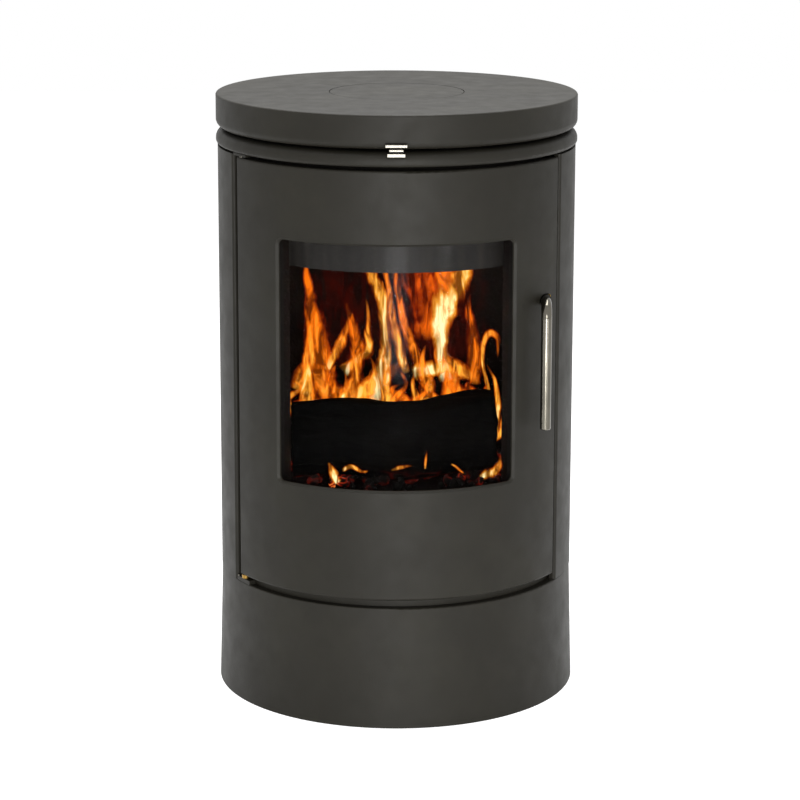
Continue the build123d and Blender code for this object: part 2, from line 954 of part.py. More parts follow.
# Air control knob: three bars, one above another, on a narrow back
knob_top = plate_bottom + knob_rise
knob_middle_top = knob_top - knob_top_height - knob_groove
knob_lower_top = knob_middle_top - knob_middle_height - knob_groove
knob_bottom = knob_lower_top - knob_lower_height
knob_bars = (
    (knob_top_width, knob_top, knob_top_height),
    (knob_middle_width, knob_middle_top, knob_middle_height),
    (knob_lower_width, knob_lower_top, knob_lower_height),
)
knob_plane = Plane.XZ.offset(knob_back)
with BuildPart() as air_control_knob:
    for width, height, thickness in knob_bars:
        with BuildSketch(knob_plane):
            with Locations((0, height - thickness / 2)):
                Rectangle(width, thickness)
        extrude(amount=knob_depth)
    front_edges = air_control_knob.faces().filter_by(Axis.Y).group_by(Axis.Y)[0].edges()
    fillet(front_edges, knob_edge_radius)
    with BuildSketch(knob_plane):
        with Locations((0, (knob_top + knob_bottom) / 2)):
            Rectangle(2 * tongue_half_width, knob_top - knob_bottom)
    extrude(amount=knob_back_thickness)
save(air_control_knob.part, "air_control_knob")

# Side panels: curved castings on the plinth, with a rebate at the back for the rear sheet
rear_edge_angle = panel_rear_angle - rear_lap_angle
rear_sheet_inner = body_radius - rear_sheet_thickness
rear_screw_places = [
    facing(body_radius, angle, height)
    for angle in (
        rear_edge_angle + rear_screw_inset_angle,
        -rear_edge_angle - rear_screw_inset_angle,
    )
    for height in rear_screw_heights
]
with BuildPart() as right_side_panel:
    add(
        curved_block(
            panel_inner, body_radius, panel_front_angle, rear_edge_angle, plinth_height, panel_top
        )
    )
    upright_edges = edges_at(right_side_panel, body_radius).filter_by(Axis.Z)
    fillet(upright_edges.sort_by(Axis.Y)[0], panel_edge_radius)
    add(
        curved_block(
            panel_inner,
            rear_sheet_inner - seat_gap,
            rear_edge_angle - rear_joint_angle,
            panel_rear_angle,
            plinth_height,
            panel_top,
        )
    )
    with Locations(*rear_screw_places):
        Hole(small_hole, rear_screw_length + thread_clearance)
save(right_side_panel.part, "right_side_panel")
with BuildPart() as left_side_panel:
    mirror(right_side_panel.part, about=Plane.YZ)
save(left_side_panel.part, "left_side_panel")

# Rear panel: a thin curved sheet with vents and a hole for the flue
rear_start = rear_edge_angle + rear_joint_angle
rear_cut_plane = Plane.XZ.offset(-body_radius - cut_margin)
rear_cut_depth = body_radius + cut_margin - panel_inner * cos(radians(180 - rear_start))
with BuildPart() as rear_panel:
    add(
        curved_block(
            rear_sheet_inner,
            body_radius,
            rear_start,
            360 - rear_start,
            plinth_height + rear_sheet_lift,
            panel_top,
        )
    )
    with BuildSketch(rear_cut_plane):
        with Locations((0, flue_height)):
            Circle(spigot_radius + flue_hole_play)
        with Locations(*[(0, vent_lowest + row * vent_pitch) for row in range(vent_count)]):
            SlotOverall(vent_width, vent_height)
    extrude(amount=rear_cut_depth, mode=Mode.SUBTRACT)
    with Locations(*rear_screw_places):
        Hole(small_hole, rear_screw_length)
save(rear_panel.part, "rear_panel")
save(
    screws_on(
        rear_screw_places,
        small_screw_radius,
        rear_screw_length,
        small_head_radius,
        small_head_height,
    ),
    "rear_panel_screws",
)

# Flue spigot: a short tube with a shoulder and a flange, bolted on the drum's collar
spigot_plane = Plane(origin=(0, flue_collar_face, flue_height), z_dir=(0, 1, 0))
with BuildPart() as flue_spigot:
    with BuildSketch(spigot_plane):
        Circle(flue_flange_radius)
    extrude(amount=flue_flange_thickness)
    with BuildSketch(spigot_plane):
        Circle(spigot_radius + spigot_shoulder)
    extrude(amount=spigot_reach - spigot_free_length - flue_collar_face)
    with BuildSketch(spigot_plane):
        Circle(spigot_radius)
    extrude(amount=spigot_reach - flue_collar_face)
    with BuildSketch(spigot_plane):
        Circle(spigot_radius - spigot_wall)
    extrude(amount=spigot_reach - flue_collar_face, mode=Mode.SUBTRACT)
    with Locations(*flue_bolt_places):
        Hole(bolt_hole, flue_flange_thickness)
save(flue_spigot.part, "flue_spigot")
save(bolts_on(flue_bolt_places), "flue_bolts")

# Hinge brackets: one under the top ring, one on the plinth, with a bright screw in the gap
bracket_start = hinge_angle - bracket_half_angle
bracket_end = hinge_angle + bracket_half_angle
bracket_front = body_radius - bracket_front_inset
pivot_hole = hinge_pin_radius + running_clearance
with BuildPart() as upper_hinge_bracket:
    add(
        curved_block(
            upper_bracket_back,
            bracket_front,
            bracket_start,
            bracket_end,
            ring_bottom - upper_bracket_thickness,
            ring_bottom,
        )
    )
    with Locations(at(hinge_radius, hinge_angle, ring_bottom)):
        Hole(pivot_hole, upper_bracket_thickness)
save(upper_hinge_bracket.part, "upper_hinge_bracket")
lower_bracket_top = plinth_height + lower_bracket_thickness
hinge_screw_place = Plane(
    origin=at(body_radius - hinge_screw_inset, hinge_angle - hinge_screw_angle, lower_bracket_top)
)
with BuildPart() as lower_hinge_bracket:
    add(
        curved_block(
            lower_bracket_back,
            bracket_front,
            bracket_start,
            bracket_end,
            plinth_height,
            lower_bracket_top,
        )
    )
    with Locations(at(hinge_radius, hinge_angle, lower_bracket_top)):
        Hole(pivot_hole, lower_bracket_thickness)
save(lower_hinge_bracket.part, "lower_hinge_bracket")
with BuildPart() as hinge_screw:
    with BuildSketch(hinge_screw_place):
        Circle(hinge_screw_radius)
    extrude(amount=hinge_screw_height)
save(hinge_screw.part, "hinge_screw")

# Hinge pins: held in the door's edge, they turn in the brackets, and the door stands on a washer
washer_bottom = lower_bracket_top + seat_gap
washer_top = door_bottom - seat_gap
with BuildPart() as hinge_pins:
    with BuildSketch(Plane(origin=at(hinge_radius, hinge_angle, plinth_height + seat_gap))):
        Circle(hinge_pin_radius)
    extrude(amount=door_bottom + hinge_pin_grip - plinth_height - 2 * seat_gap)
    with BuildSketch(Plane(origin=at(hinge_radius, hinge_angle, ring_bottom - seat_gap))):
        Circle(hinge_pin_radius)
    extrude(amount=door_top - hinge_pin_grip - ring_bottom + 2 * seat_gap)
save(hinge_pins.part, "hinge_pins")
with BuildPart() as hinge_washer:
    with BuildSketch(Plane(origin=at(hinge_radius, hinge_angle, washer_bottom))):
        Circle(washer_radius)
        Circle(pivot_hole, mode=Mode.SUBTRACT)
    extrude(amount=washer_top - washer_bottom)
save(hinge_washer.part, "hinge_washer")

# Latch keeper: a block screwed on the drum, over the cam
with BuildPart() as latch_keeper:
    add(
        curved_block(
            keeper_inner,
            keeper_inner + keeper_depth,
            keeper_start_angle,
            keeper_end_angle,
            keeper_bottom,
            keeper_bottom + keeper_height,
        )
    )
    with Locations(keeper_screw_place):
        Hole(small_hole, keeper_screw_length)
save(latch_keeper.part, "latch_keeper")
save(
    screws_on(
        [keeper_screw_place],
        small_screw_radius,
        keeper_screw_length,
        small_head_radius,
        small_head_height,
    ),
    "keeper_screw",
)

# Door casting: a curved plate with the window, the rope's channel and the handle's boss
bush_radius = rod_radius + rod_play
boss_plane = Plane(origin=(handle_offset, -boss_back, handle_height), z_dir=(0, -1, 0))
overlap_angle = arc_angle(glass_overlap, lip_inner)
play_angle = arc_angle(glass_play, lip_inner)
glass_half_angle = window_half_angle + overlap_angle - play_angle
glass_bottom = window_sill_height - glass_overlap + glass_play
glass_top = window_top + glass_overlap - glass_play
clip_outer = door_inner - tape_gap
clip_inner = clip_outer - clip_thickness
lower_clip_start = window_sill_height - glass_overlap - clip_foot
upper_clip_start = glass_top - clip_hold
clip_height = glass_bottom + clip_hold - lower_clip_start
lower_clip_screws = lower_clip_start + clip_foot / 2
upper_clip_screws = upper_clip_start + clip_height - clip_foot / 2
clip_screw_places = [
    facing(clip_inner - head_gap, angle, height, way=-1)
    for angle in clip_angles
    for height in (lower_clip_screws, upper_clip_screws)
]
channel_side = rope_play + channel_wall
with BuildPart() as handle_boss:
    with BuildSketch(boss_plane):
        Circle(bush_radius + boss_wall)
    extrude(amount=body_radius - boss_back)
    add(
        curved_block(
            drum_radius,
            lip_inner,
            rope_outer_angle,
            door_right,
            door_bottom,
            door_top,
        ),
        mode=Mode.INTERSECT,
    )
with BuildPart() as door_casting:
    add(curved_block(door_inner, body_radius, door_left, door_right, door_bottom, door_top))
    fillet(edges_at(door_casting, body_radius), door_edge_radius)
    add(
        curved_block(
            door_inner - cut_margin,
            body_radius + cut_margin,
            -window_half_angle,
            window_half_angle,
            window_sill_height,
            window_top,
            window_corner_radius,
        ),
        mode=Mode.SUBTRACT,
    )
    chamfer(edges_at(door_casting, body_radius).filter_by(beside_window), window_bevel)
    add(
        curved_block(
            door_inner - cut_margin,
            lip_inner,
            -window_half_angle - overlap_angle,
            window_half_angle + overlap_angle,
            window_sill_height - glass_overlap,
            window_top + glass_overlap,
            window_corner_radius,
        ),
        mode=Mode.SUBTRACT,
    )
    add(
        curved_frame(
            door_inner - channel_depth,
            door_inner + channel_wall,
            rope_outer_angle + arc_angle(channel_side, door_inner),
            rope_bottom - channel_side,
            rope_top + channel_side,
            channel_wall,
            rope_corner_radius + channel_side,
        )
    )
    add(
        curved_frame(
            door_inner - channel_depth,
            door_inner + channel_wall,
            rope_outer_angle - arc_angle(rope_width + rope_play, door_inner),
            rope_bottom + rope_width + rope_play,
            rope_top - rope_width - rope_play,
            channel_wall,
            rope_corner_radius - rope_width - rope_play,
        )
    )
    add(handle_boss.part)
    with BuildSketch(boss_plane):
        Circle(bush_radius + press_clearance)
    extrude(amount=body_radius - boss_back, mode=Mode.SUBTRACT)
    with Locations(at(hinge_radius, hinge_angle, door_bottom), at(hinge_radius, hinge_angle, door_top)):
        Hole(hinge_pin_radius + thread_clearance, hinge_pin_grip)
    with Locations(*clip_screw_places):
        Hole(small_hole, clip_screw_length + thread_clearance)
save(door_casting.part, "door_casting")

# Door glass, the tape between it and the casting, and the clips that hold it
door_glass = curved_block(
    glass_inner,
    glass_outer,
    -glass_half_angle,
    glass_half_angle,
    glass_bottom,
    glass_top,
    window_corner_radius,
)
save(door_glass, "door_glass")
glass_gasket = curved_frame(
    tape_inner,
    tape_outer,
    glass_half_angle,
    glass_bottom,
    glass_top,
    tape_width,
    tape_width + tape_gap,
)
save(glass_gasket, "glass_gasket")
clip_half_angle = arc_angle(clip_width / 2, clip_outer)
with BuildPart() as glass_clips:
    for angle in clip_angles:
        for bottom in (lower_clip_start, upper_clip_start):
            add(
                curved_block(
                    clip_inner,
                    clip_outer,
                    angle - clip_half_angle,
                    angle + clip_half_angle,
                    bottom,
                    bottom + clip_height,
                )
            )
    with Locations(*clip_screw_places):
        Hole(small_hole, clip_screw_length)
save(glass_clips.part, "glass_clips")
save(
    screws_on(
        clip_screw_places,
        small_screw_radius,
        clip_screw_length,
        small_head_radius,
        small_head_height,
    ),
    "clip_screws",
)

# Rope gasket: presses on the front frame all round the fire mouth
door_rope_gasket = curved_frame(
    rope_inner,
    rope_outer,
    rope_outer_angle,
    rope_bottom,
    rope_top,
    rope_width,
    rope_corner_radius,
)
save(door_rope_gasket, "door_rope_gasket")

# Handle bush: pressed in the boss, it carries the handle's spindle
spindle_hole = spindle_radius + running_clearance
with BuildPart() as handle_bush:
    with BuildSketch(boss_plane):
        Circle(bush_radius)
        Circle(spindle_hole, mode=Mode.SUBTRACT)
    extrude(amount=bush_length)
save(handle_bush.part, "handle_bush")

# Door handle: a round rod, bent down, with a thinner spindle that goes through the door
rod_start = boss_back + bush_length + seat_gap
bend_start = rod_stand_off - rod_bend_radius
cam_front = boss_back - cam_gap
cam_back = cam_front - cam_thickness
spindle_end = cam_back - cam_nut_thickness
with BuildPart() as door_handle:
    with BuildLine(Plane.YZ.offset(handle_offset)):
        Line((-rod_start, handle_height), (-bend_start, handle_height))
        CenterArc((-bend_start, handle_height - rod_bend_radius), rod_bend_radius, 90, 90)
        Line((-rod_stand_off, handle_height - rod_bend_radius), (-rod_stand_off, rod_end_height))
    with BuildSketch(Plane(origin=(handle_offset, -rod_start, handle_height), z_dir=(0, -1, 0))):
        Circle(rod_radius)
    sweep()
    chamfer(door_handle.edges().group_by(Axis.Z)[0], rod_end_chamfer)
    with BuildSketch(Plane(origin=(handle_offset, -spindle_end, handle_height), z_dir=(0, -1, 0))):
        Circle(spindle_radius)
    extrude(amount=rod_start - spindle_end)
save(door_handle.part, "door_handle")

# Latch cam and its nut, on the spindle behind the door
cam_plane = Plane(origin=(handle_offset, -cam_back, handle_height), x_dir=(1, 0, 0), z_dir=(0, -1, 0))
lean = radians(cam_lean)
tip_reach = cam_reach - cam_tip_radius
with BuildPart() as latch_cam:
    with BuildSketch(cam_plane):
        Circle(cam_hub_radius)
        with Locations((tip_reach * sin(lean), tip_reach * cos(lean))):
            Circle(cam_tip_radius)
        make_hull()
        Circle(spindle_radius + press_clearance, mode=Mode.SUBTRACT)
    extrude(amount=cam_thickness)
save(latch_cam.part, "latch_cam")
with BuildPart() as cam_nut:
    with BuildSketch(Plane(origin=(handle_offset, -spindle_end, handle_height), z_dir=(0, -1, 0))):
        RegularPolygon(cam_nut_radius, 6)
        Circle(spindle_radius + thread_clearance, mode=Mode.SUBTRACT)
    extrude(amount=cam_nut_thickness)
save(cam_nut.part, "cam_nut")
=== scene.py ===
import math
import random
import bmesh
import bpy
from mathutils import Matrix, Vector, noise


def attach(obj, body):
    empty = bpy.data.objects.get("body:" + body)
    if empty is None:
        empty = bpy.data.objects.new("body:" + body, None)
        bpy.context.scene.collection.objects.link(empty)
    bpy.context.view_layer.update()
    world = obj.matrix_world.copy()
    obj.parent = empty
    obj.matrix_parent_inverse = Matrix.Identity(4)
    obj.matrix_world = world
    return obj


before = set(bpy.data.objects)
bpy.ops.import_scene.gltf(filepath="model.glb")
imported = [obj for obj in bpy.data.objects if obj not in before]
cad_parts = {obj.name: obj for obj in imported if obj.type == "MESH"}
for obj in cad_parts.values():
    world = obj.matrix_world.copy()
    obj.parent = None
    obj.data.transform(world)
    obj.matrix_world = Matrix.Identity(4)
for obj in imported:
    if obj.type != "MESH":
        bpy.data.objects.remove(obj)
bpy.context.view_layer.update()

# The outer castings of a round wood stove: plinth, ring, top plate with its lift-off disc, side panels and door.
# They are grey iron cast in sand moulds, bolted together, and sprayed with heatproof satin paint.
OUTER_CASTINGS = ("plinth", "base_plate", "top_ring", "top_plate", "flue_cover", "left_side_panel",
                  "right_side_panel", "door_casting", "upper_hinge_bracket", "lower_hinge_bracket", "flue_spigot")
# Each pattern is measured across, in mm.
SAND_GRIT, PANEL_SWELL, SPRAY_CLOUD = 2.0, 25.0, 90.0


def linear(hex_colour):
    """The linear colour of an sRGB hex value."""
    parts = [int(hex_colour[i:i + 2], 16) / 255 for i in (1, 3, 5)]
    return [c / 12.92 if c <= 0.04045 else ((c + 0.055) / 1.055) ** 2.4 for c in parts] + [1.0]


def wire(tree, node, wires):
    """Links outputs of other nodes to the named inputs of this one."""
    for name, output in dict(wires).items():
        tree.links.new(output, node.inputs[name])


def add(tree, kind, values=(), wires=(), stops=(), **settings):
    """Adds a node with its own settings, its inputs' values, the links into it and its colour stops, if it has any."""
    node = tree.nodes.new(kind)
    for name, value in settings.items():
        setattr(node, name, value)
    for name, value in dict(values).items():
        node.inputs[name].default_value = value
    wire(tree, node, wires)
    if stops:
        points = node.color_ramp.elements
        points[0].position, points[1].position = stops[0][0], stops[-1][0]
        for spot, hex_colour in stops[1:-1]:
            points.new(spot)
        for point, (spot, hex_colour) in zip(points, stops):
            point.color = linear(hex_colour)
    return node


def finish_of(name, **surface):
    """A new material with its shader. It returns the material, its tree, the shader and the Object coordinates."""
    material = bpy.data.materials.new(name)
    material.use_nodes = True
    tree = material.node_tree
    shader = tree.nodes["Principled BSDF"]
    for socket, value in surface.items():
        shader.inputs[socket.replace("_", " ")].default_value = value
    return material, tree, shader, add(tree, "ShaderNodeTexCoord").outputs["Object"]


def dress(material, *names):
    """Gives the material to every slot of these CAD nodes."""
    for name in names:
        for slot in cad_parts[name].material_slots:
            slot.material = material


# Heatproof satin paint on sand-cast iron: near black with a faint olive warmth. The skin of the sand mould shows
# as a fine even grit, drawn coarser than real sand so that it shows, over slow unevenness in the panels.
cast_paint, tree, shader, place = finish_of("satin stove paint on sand-cast iron", IOR=1.3)
grit = add(tree, "ShaderNodeTexNoise", {"Scale": 1000 / SAND_GRIT, "Detail": 5.0, "Roughness": 0.62},
           {"Vector": place})
swell = add(tree, "ShaderNodeTexNoise", {"Scale": 1000 / PANEL_SWELL, "Detail": 3.0}, {"Vector": place})
cloud = add(tree, "ShaderNodeTexNoise", {"Scale": 1000 / SPRAY_CLOUD, "Detail": 4.0, "Roughness": 0.6},
            {"Vector": place})
tone = add(tree, "ShaderNodeValToRGB", wires={"Fac": cloud.outputs["Fac"]},
           stops=((0.3, "#1a1812"), (0.5, "#1d1b15"), (0.7, "#211f18")))
satin = add(tree, "ShaderNodeMapRange", {"From Min": 0.3, "From Max": 0.7, "To Min": 0.50, "To Max": 0.60},
            {"Value": swell.outputs["Fac"]})
soft = add(tree, "ShaderNodeBump", {"Strength": 0.16, "Distance": 0.0006}, {"Height": swell.outputs["Fac"]})
sand = add(tree, "ShaderNodeBump", {"Strength": 0.35, "Distance": 0.0003},
           {"Height": grit.outputs["Fac"], "Normal": soft.outputs["Normal"]})
wire(tree, shader, {"Base Color": tone.outputs["Color"], "Roughness": satin.outputs["Result"],
                    "Normal": sand.outputs["Normal"]})
dress(cast_paint, *OUTER_CASTINGS)

# The castings inside: drum, lid, front frame, hearth, grate and baffle, all of them bare grey iron.
# They are bolted and stacked on the base plate, and fire and smoke have turned them matt black with thin ash.
INNER_CASTINGS = ("firebox_drum", "firebox_lid", "front_frame", "hearth_plate", "riddling_grate", "smoke_baffle",
                  "blanking_plate", "log_guard", "latch_keeper", "latch_cam", "air_slide")
MOULD_PIT, ASH_BLOOM = 3.0, 60.0
# Sooted bare iron: dull black with patches of grey ash bloom, rough everywhere, with the pitted skin of the mould.
soot_iron, tree, shader, place = finish_of("sooted bare cast iron", Specular_IOR_Level=0.1)
pits = add(tree, "ShaderNodeTexNoise", {"Scale": 1000 / MOULD_PIT, "Detail": 5.0, "Roughness": 0.65},
           {"Vector": place})
bloom = add(tree, "ShaderNodeTexNoise", {"Scale": 1000 / ASH_BLOOM, "Detail": 6.0, "Roughness": 0.7},
            {"Vector": place})
ash = add(tree, "ShaderNodeValToRGB", wires={"Fac": bloom.outputs["Fac"]},
          stops=((0.35, "#0c0a09"), (0.58, "#151311"), (0.8, "#2a2724")))
dull = add(tree, "ShaderNodeMapRange", {"From Min": 0.3, "From Max": 0.7, "To Min": 0.72, "To Max": 0.95},
           {"Value": bloom.outputs["Fac"]})
rough = add(tree, "ShaderNodeBump", {"Strength": 0.5, "Distance": 0.0005}, {"Height": pits.outputs["Fac"]})
wire(tree, shader, {"Base Color": ash.outputs["Color"], "Roughness": dull.outputs["Result"],
                    "Normal": rough.outputs["Normal"]})
dress(soot_iron, *INNER_CASTINGS)

# The back panel, ash pan with its handle, pan rails and riddling lever: folded and cut steel, sprayed black.
# The spray leaves a fine orange-peel skin, smoother than the castings, and it is grey with dust in places.
SPRAY_DIMPLE, DUST_PATCH = 4.0, 70.0
# Sprayed sheet: even satin black, with dimples drawn larger than real spray so that they show.
sheet_paint, tree, shader, place = finish_of("black sprayed steel sheet", IOR=1.35)
peel = add(tree, "ShaderNodeTexNoise", {"Scale": 1000 / SPRAY_DIMPLE, "Detail": 2.0}, {"Vector": place})
dust = add(tree, "ShaderNodeTexNoise", {"Scale": 1000 / DUST_PATCH, "Detail": 5.0, "Roughness": 0.6},
           {"Vector": place})
black = add(tree, "ShaderNodeValToRGB", wires={"Fac": dust.outputs["Fac"]},
            stops=((0.35, "#191814"), (0.75, "#23211c")))
satin = add(tree, "ShaderNodeMapRange", {"From Min": 0.3, "From Max": 0.7, "To Min": 0.46, "To Max": 0.58},
            {"Value": dust.outputs["Fac"]})
dimple = add(tree, "ShaderNodeBump", {"Strength": 0.25, "Distance": 0.0003}, {"Height": peel.outputs["Fac"]})
wire(tree, shader, {"Base Color": black.outputs["Color"], "Roughness": satin.outputs["Result"],
                    "Normal": dimple.outputs["Normal"]})
dress(sheet_paint, "rear_panel", "ash_pan", "pan_rails", "ash_pan_handle", "riddle_lever")

# The fire bricks: three curved slabs of pressed vermiculite that stand loose around the fire.
# They start sandy and turn brown black where smoke reaches them, and flakes of mica make their skin crumbly.
MICA_FLAKE, SMOKE_STAIN = 5.0, 80.0
# Smoked vermiculite: dead matt, dark brown with paler worn flakes.
smoked_brick, tree, shader, place = finish_of("smoked vermiculite slab", IOR=1.45, Roughness=0.95,
                                              Specular_IOR_Level=0.15)
flakes = add(tree, "ShaderNodeTexVoronoi", {"Scale": 1000 / MICA_FLAKE, "Randomness": 1.0}, {"Vector": place})
smoke = add(tree, "ShaderNodeTexNoise", {"Scale": 1000 / SMOKE_STAIN, "Detail": 6.0, "Roughness": 0.65},
            {"Vector": place})
stain = add(tree, "ShaderNodeValToRGB", wires={"Fac": smoke.outputs["Fac"]},
            stops=((0.32, "#0b0706"), (0.55, "#17100c"), (0.8, "#2b1f17")))
speck = add(tree, "ShaderNodeMix", {"Factor": 0.18}, {"A": stain.outputs["Color"], "B": flakes.outputs["Color"]},
            data_type="RGBA", blend_type="SOFT_LIGHT")
crumble = add(tree, "ShaderNodeBump", {"Strength": 0.6, "Distance": 0.0012}, {"Height": flakes.outputs["Distance"]})
wire(tree, shader, {"Base Color": speck.outputs["Result"], "Normal": crumble.outputs["Normal"]})
dress(smoked_brick, "left_brick", "right_brick", "rear_brick")

# The air wash plate: a thin curved steel plate behind the top of the glass that turns the air down over it.
# It is screwed on bare, so heat has browned it, and its colour has faint upright streaks.
UPRIGHT_STREAK, STREAK_PULL = 9.0, 0.03
# Heat-browned steel: a thin brown grey oxide with a weak sheen, and streaks that run down.
wash_steel, tree, shader, place = finish_of("heat-browned steel plate", Specular_IOR_Level=0.1664)
down = add(tree, "ShaderNodeMapping", {"Scale": (1.0, 1.0, STREAK_PULL)}, {"Vector": place})
streaks = add(tree, "ShaderNodeTexNoise", {"Scale": 1000 / UPRIGHT_STREAK, "Detail": 6.0, "Roughness": 0.7},
              {"Vector": down.outputs["Vector"]})
oxide = add(tree, "ShaderNodeValToRGB", wires={"Fac": streaks.outputs["Fac"]},
            stops=((0.3, "#100e0d"), (0.5, "#181614"), (0.7, "#24211d")))
worn = add(tree, "ShaderNodeMapRange", {"From Min": 0.3, "From Max": 0.7, "To Min": 0.45, "To Max": 0.62},
           {"Value": streaks.outputs["Fac"]})
scale = add(tree, "ShaderNodeBump", {"Strength": 0.2, "Distance": 0.0003}, {"Height": streaks.outputs["Fac"]})
wire(tree, shader, {"Base Color": oxide.outputs["Color"], "Roughness": worn.outputs["Result"],
                    "Normal": scale.outputs["Normal"]})
dress(wash_steel, "air_wash_plate")

# Bolts, screws, tie rods, nuts and glass clips: turned and stamped steel, blackened in oil.
# They hold the castings, the glass and the panels together, screwed in from behind or from inside.
HANDLING_MARK = 5.0
# Oil-blackened steel: dark blue grey with a soft metal shine and small handling marks.
black_steel, tree, shader, place = finish_of("oil-blackened steel", Metallic=0.85)
marks = add(tree, "ShaderNodeTexNoise", {"Scale": 1000 / HANDLING_MARK, "Detail": 4.0, "Roughness": 0.6},
            {"Vector": place})
oiled = add(tree, "ShaderNodeValToRGB", wires={"Fac": marks.outputs["Fac"]},
            stops=((0.3, "#26272a"), (0.7, "#3f4042")))
shine = add(tree, "ShaderNodeMapRange", {"From Min": 0.3, "From Max": 0.7, "To Min": 0.32, "To Max": 0.5},
            {"Value": marks.outputs["Fac"]})
tooling = add(tree, "ShaderNodeBump", {"Strength": 0.2, "Distance": 0.0002}, {"Height": marks.outputs["Fac"]})
wire(tree, shader, {"Base Color": oiled.outputs["Color"], "Roughness": shine.outputs["Result"],
                    "Normal": tooling.outputs["Normal"]})
dress(black_steel, "plinth_bolts", "frame_screws", "blanking_bolts", "air_wash_screws", "tie_rods", "tie_rod_nuts",
      "rear_panel_screws", "flue_bolts", "keeper_screw", "glass_clips", "clip_screws", "cam_nut")

# The handle, the hinge pins and the bright hinge screw: stainless steel.
# The handle is one rod, bent cold and polished along its length; it turns in the door and carries the latch cam.
HAIR_LINE, HAIR_PULL, HAND_CLOUD = 0.5, 0.02, 30.0
# Polished stainless: bright warm silver, with hair lines along the rod that stretch the highlights.
bright_steel, tree, shader, place = finish_of("polished stainless steel", Metallic=1.0)
along = add(tree, "ShaderNodeMapping", {"Scale": (1.0, 1.0, HAIR_PULL)}, {"Vector": place})
hair = add(tree, "ShaderNodeTexNoise", {"Scale": 1000 / HAIR_LINE, "Detail": 3.0},
           {"Vector": along.outputs["Vector"]})
breath = add(tree, "ShaderNodeTexNoise", {"Scale": 1000 / HAND_CLOUD, "Detail": 3.0}, {"Vector": place})
silver = add(tree, "ShaderNodeValToRGB", wires={"Fac": breath.outputs["Fac"]},
             stops=((0.3, "#5c5951"), (0.7, "#6b675e")))
polish = add(tree, "ShaderNodeMapRange", {"From Min": 0.3, "From Max": 0.7, "To Min": 0.10, "To Max": 0.22},
             {"Value": hair.outputs["Fac"]})
line = add(tree, "ShaderNodeBump", {"Strength": 0.12, "Distance": 0.0001}, {"Height": hair.outputs["Fac"]})
wire(tree, shader, {"Base Color": silver.outputs["Color"], "Roughness": polish.outputs["Result"],
                    "Normal": line.outputs["Normal"]})
dress(bright_steel, "door_handle", "hinge_screw", "hinge_pins")

# The air knob: one small block of stainless steel on the air slide's tongue, with two milled grooves to grip it by.
# Its front is brushed from side to side, and its grooves are painted near black as shade.
# The grooves are told from the front by how far a point is from the stove's axis, in m.
KNOB_FRONT, GROOVE_FLOOR = 0.2302, 0.2285
BRUSH_LINE, BRUSH_PULL = 0.8, 0.03
# Brushed stainless with painted shade in the grooves: silver bars with a broad soft shine and black lines between
# them.
knob_steel, tree, shader, place = finish_of("brushed stainless steel with painted shade in the grooves", Metallic=1.0)
brushed = add(tree, "ShaderNodeMapping", {"Scale": (BRUSH_PULL, 1.0, 1.0)}, {"Vector": place})
scores = add(tree, "ShaderNodeTexNoise", {"Scale": 1000 / BRUSH_LINE, "Detail": 3.0},
             {"Vector": brushed.outputs["Vector"]})
flat = add(tree, "ShaderNodeVectorMath", {1: (1.0, 1.0, 0.0)}, {0: place}, operation="MULTIPLY")
out = add(tree, "ShaderNodeVectorMath", wires={0: flat.outputs["Vector"]}, operation="LENGTH")
proud = add(tree, "ShaderNodeMapRange",
            {"From Min": GROOVE_FLOOR, "From Max": KNOB_FRONT, "To Min": 0.0, "To Max": 1.0},
            {"Value": out.outputs["Value"]})
# Painted shade: the further a point sits back from the knob's front, the darker its colour, so the grooves come out
# near black.
groove_shade = add(tree, "ShaderNodeValToRGB", wires={"Fac": proud.outputs["Result"]},
           stops=((0.0, "#0d0c0b"), (1.0, "#7d7a72")))
shine = add(tree, "ShaderNodeMapRange", {"From Min": 0.3, "From Max": 0.7, "To Min": 0.28, "To Max": 0.42},
            {"Value": scores.outputs["Fac"]})
score = add(tree, "ShaderNodeBump", {"Strength": 0.1, "Distance": 0.0001}, {"Height": scores.outputs["Fac"]})
wire(tree, shader, {"Base Color": groove_shade.outputs["Color"], "Roughness": shine.outputs["Result"],
                    "Normal": score.outputs["Normal"]})
dress(knob_steel, "air_control_knob")

# The washer that the door turns on and the bush that the handle turns in: brass, turned on a lathe.
# The washer lies on the lower bracket and the bush is pressed into the door, and heat has dulled them both.
TARNISH_SPOT = 6.0
# Dulled brass: brown gold with a low shine, and rings from the lathe lost under the tarnish.
warm_brass, tree, shader, place = finish_of("heat-dulled brass", Metallic=1.0)
tarnish = add(tree, "ShaderNodeTexNoise", {"Scale": 1000 / TARNISH_SPOT, "Detail": 5.0, "Roughness": 0.6},
              {"Vector": place})
gold = add(tree, "ShaderNodeValToRGB", wires={"Fac": tarnish.outputs["Fac"]},
           stops=((0.3, "#6e5428"), (0.7, "#a98746")))
shine = add(tree, "ShaderNodeMapRange", {"From Min": 0.3, "From Max": 0.7, "To Min": 0.28, "To Max": 0.48},
            {"Value": tarnish.outputs["Fac"]})
wire(tree, shader, {"Base Color": gold.outputs["Color"], "Roughness": shine.outputs["Result"]})
dress(warm_brass, "hinge_washer", "handle_bush")

# The window glass: one pane of clear glass ceramic, bent to the curve of the door.
# It lies on a flat tape and is held to the inside of the door by clips.
HAZE_PATCH = 110.0
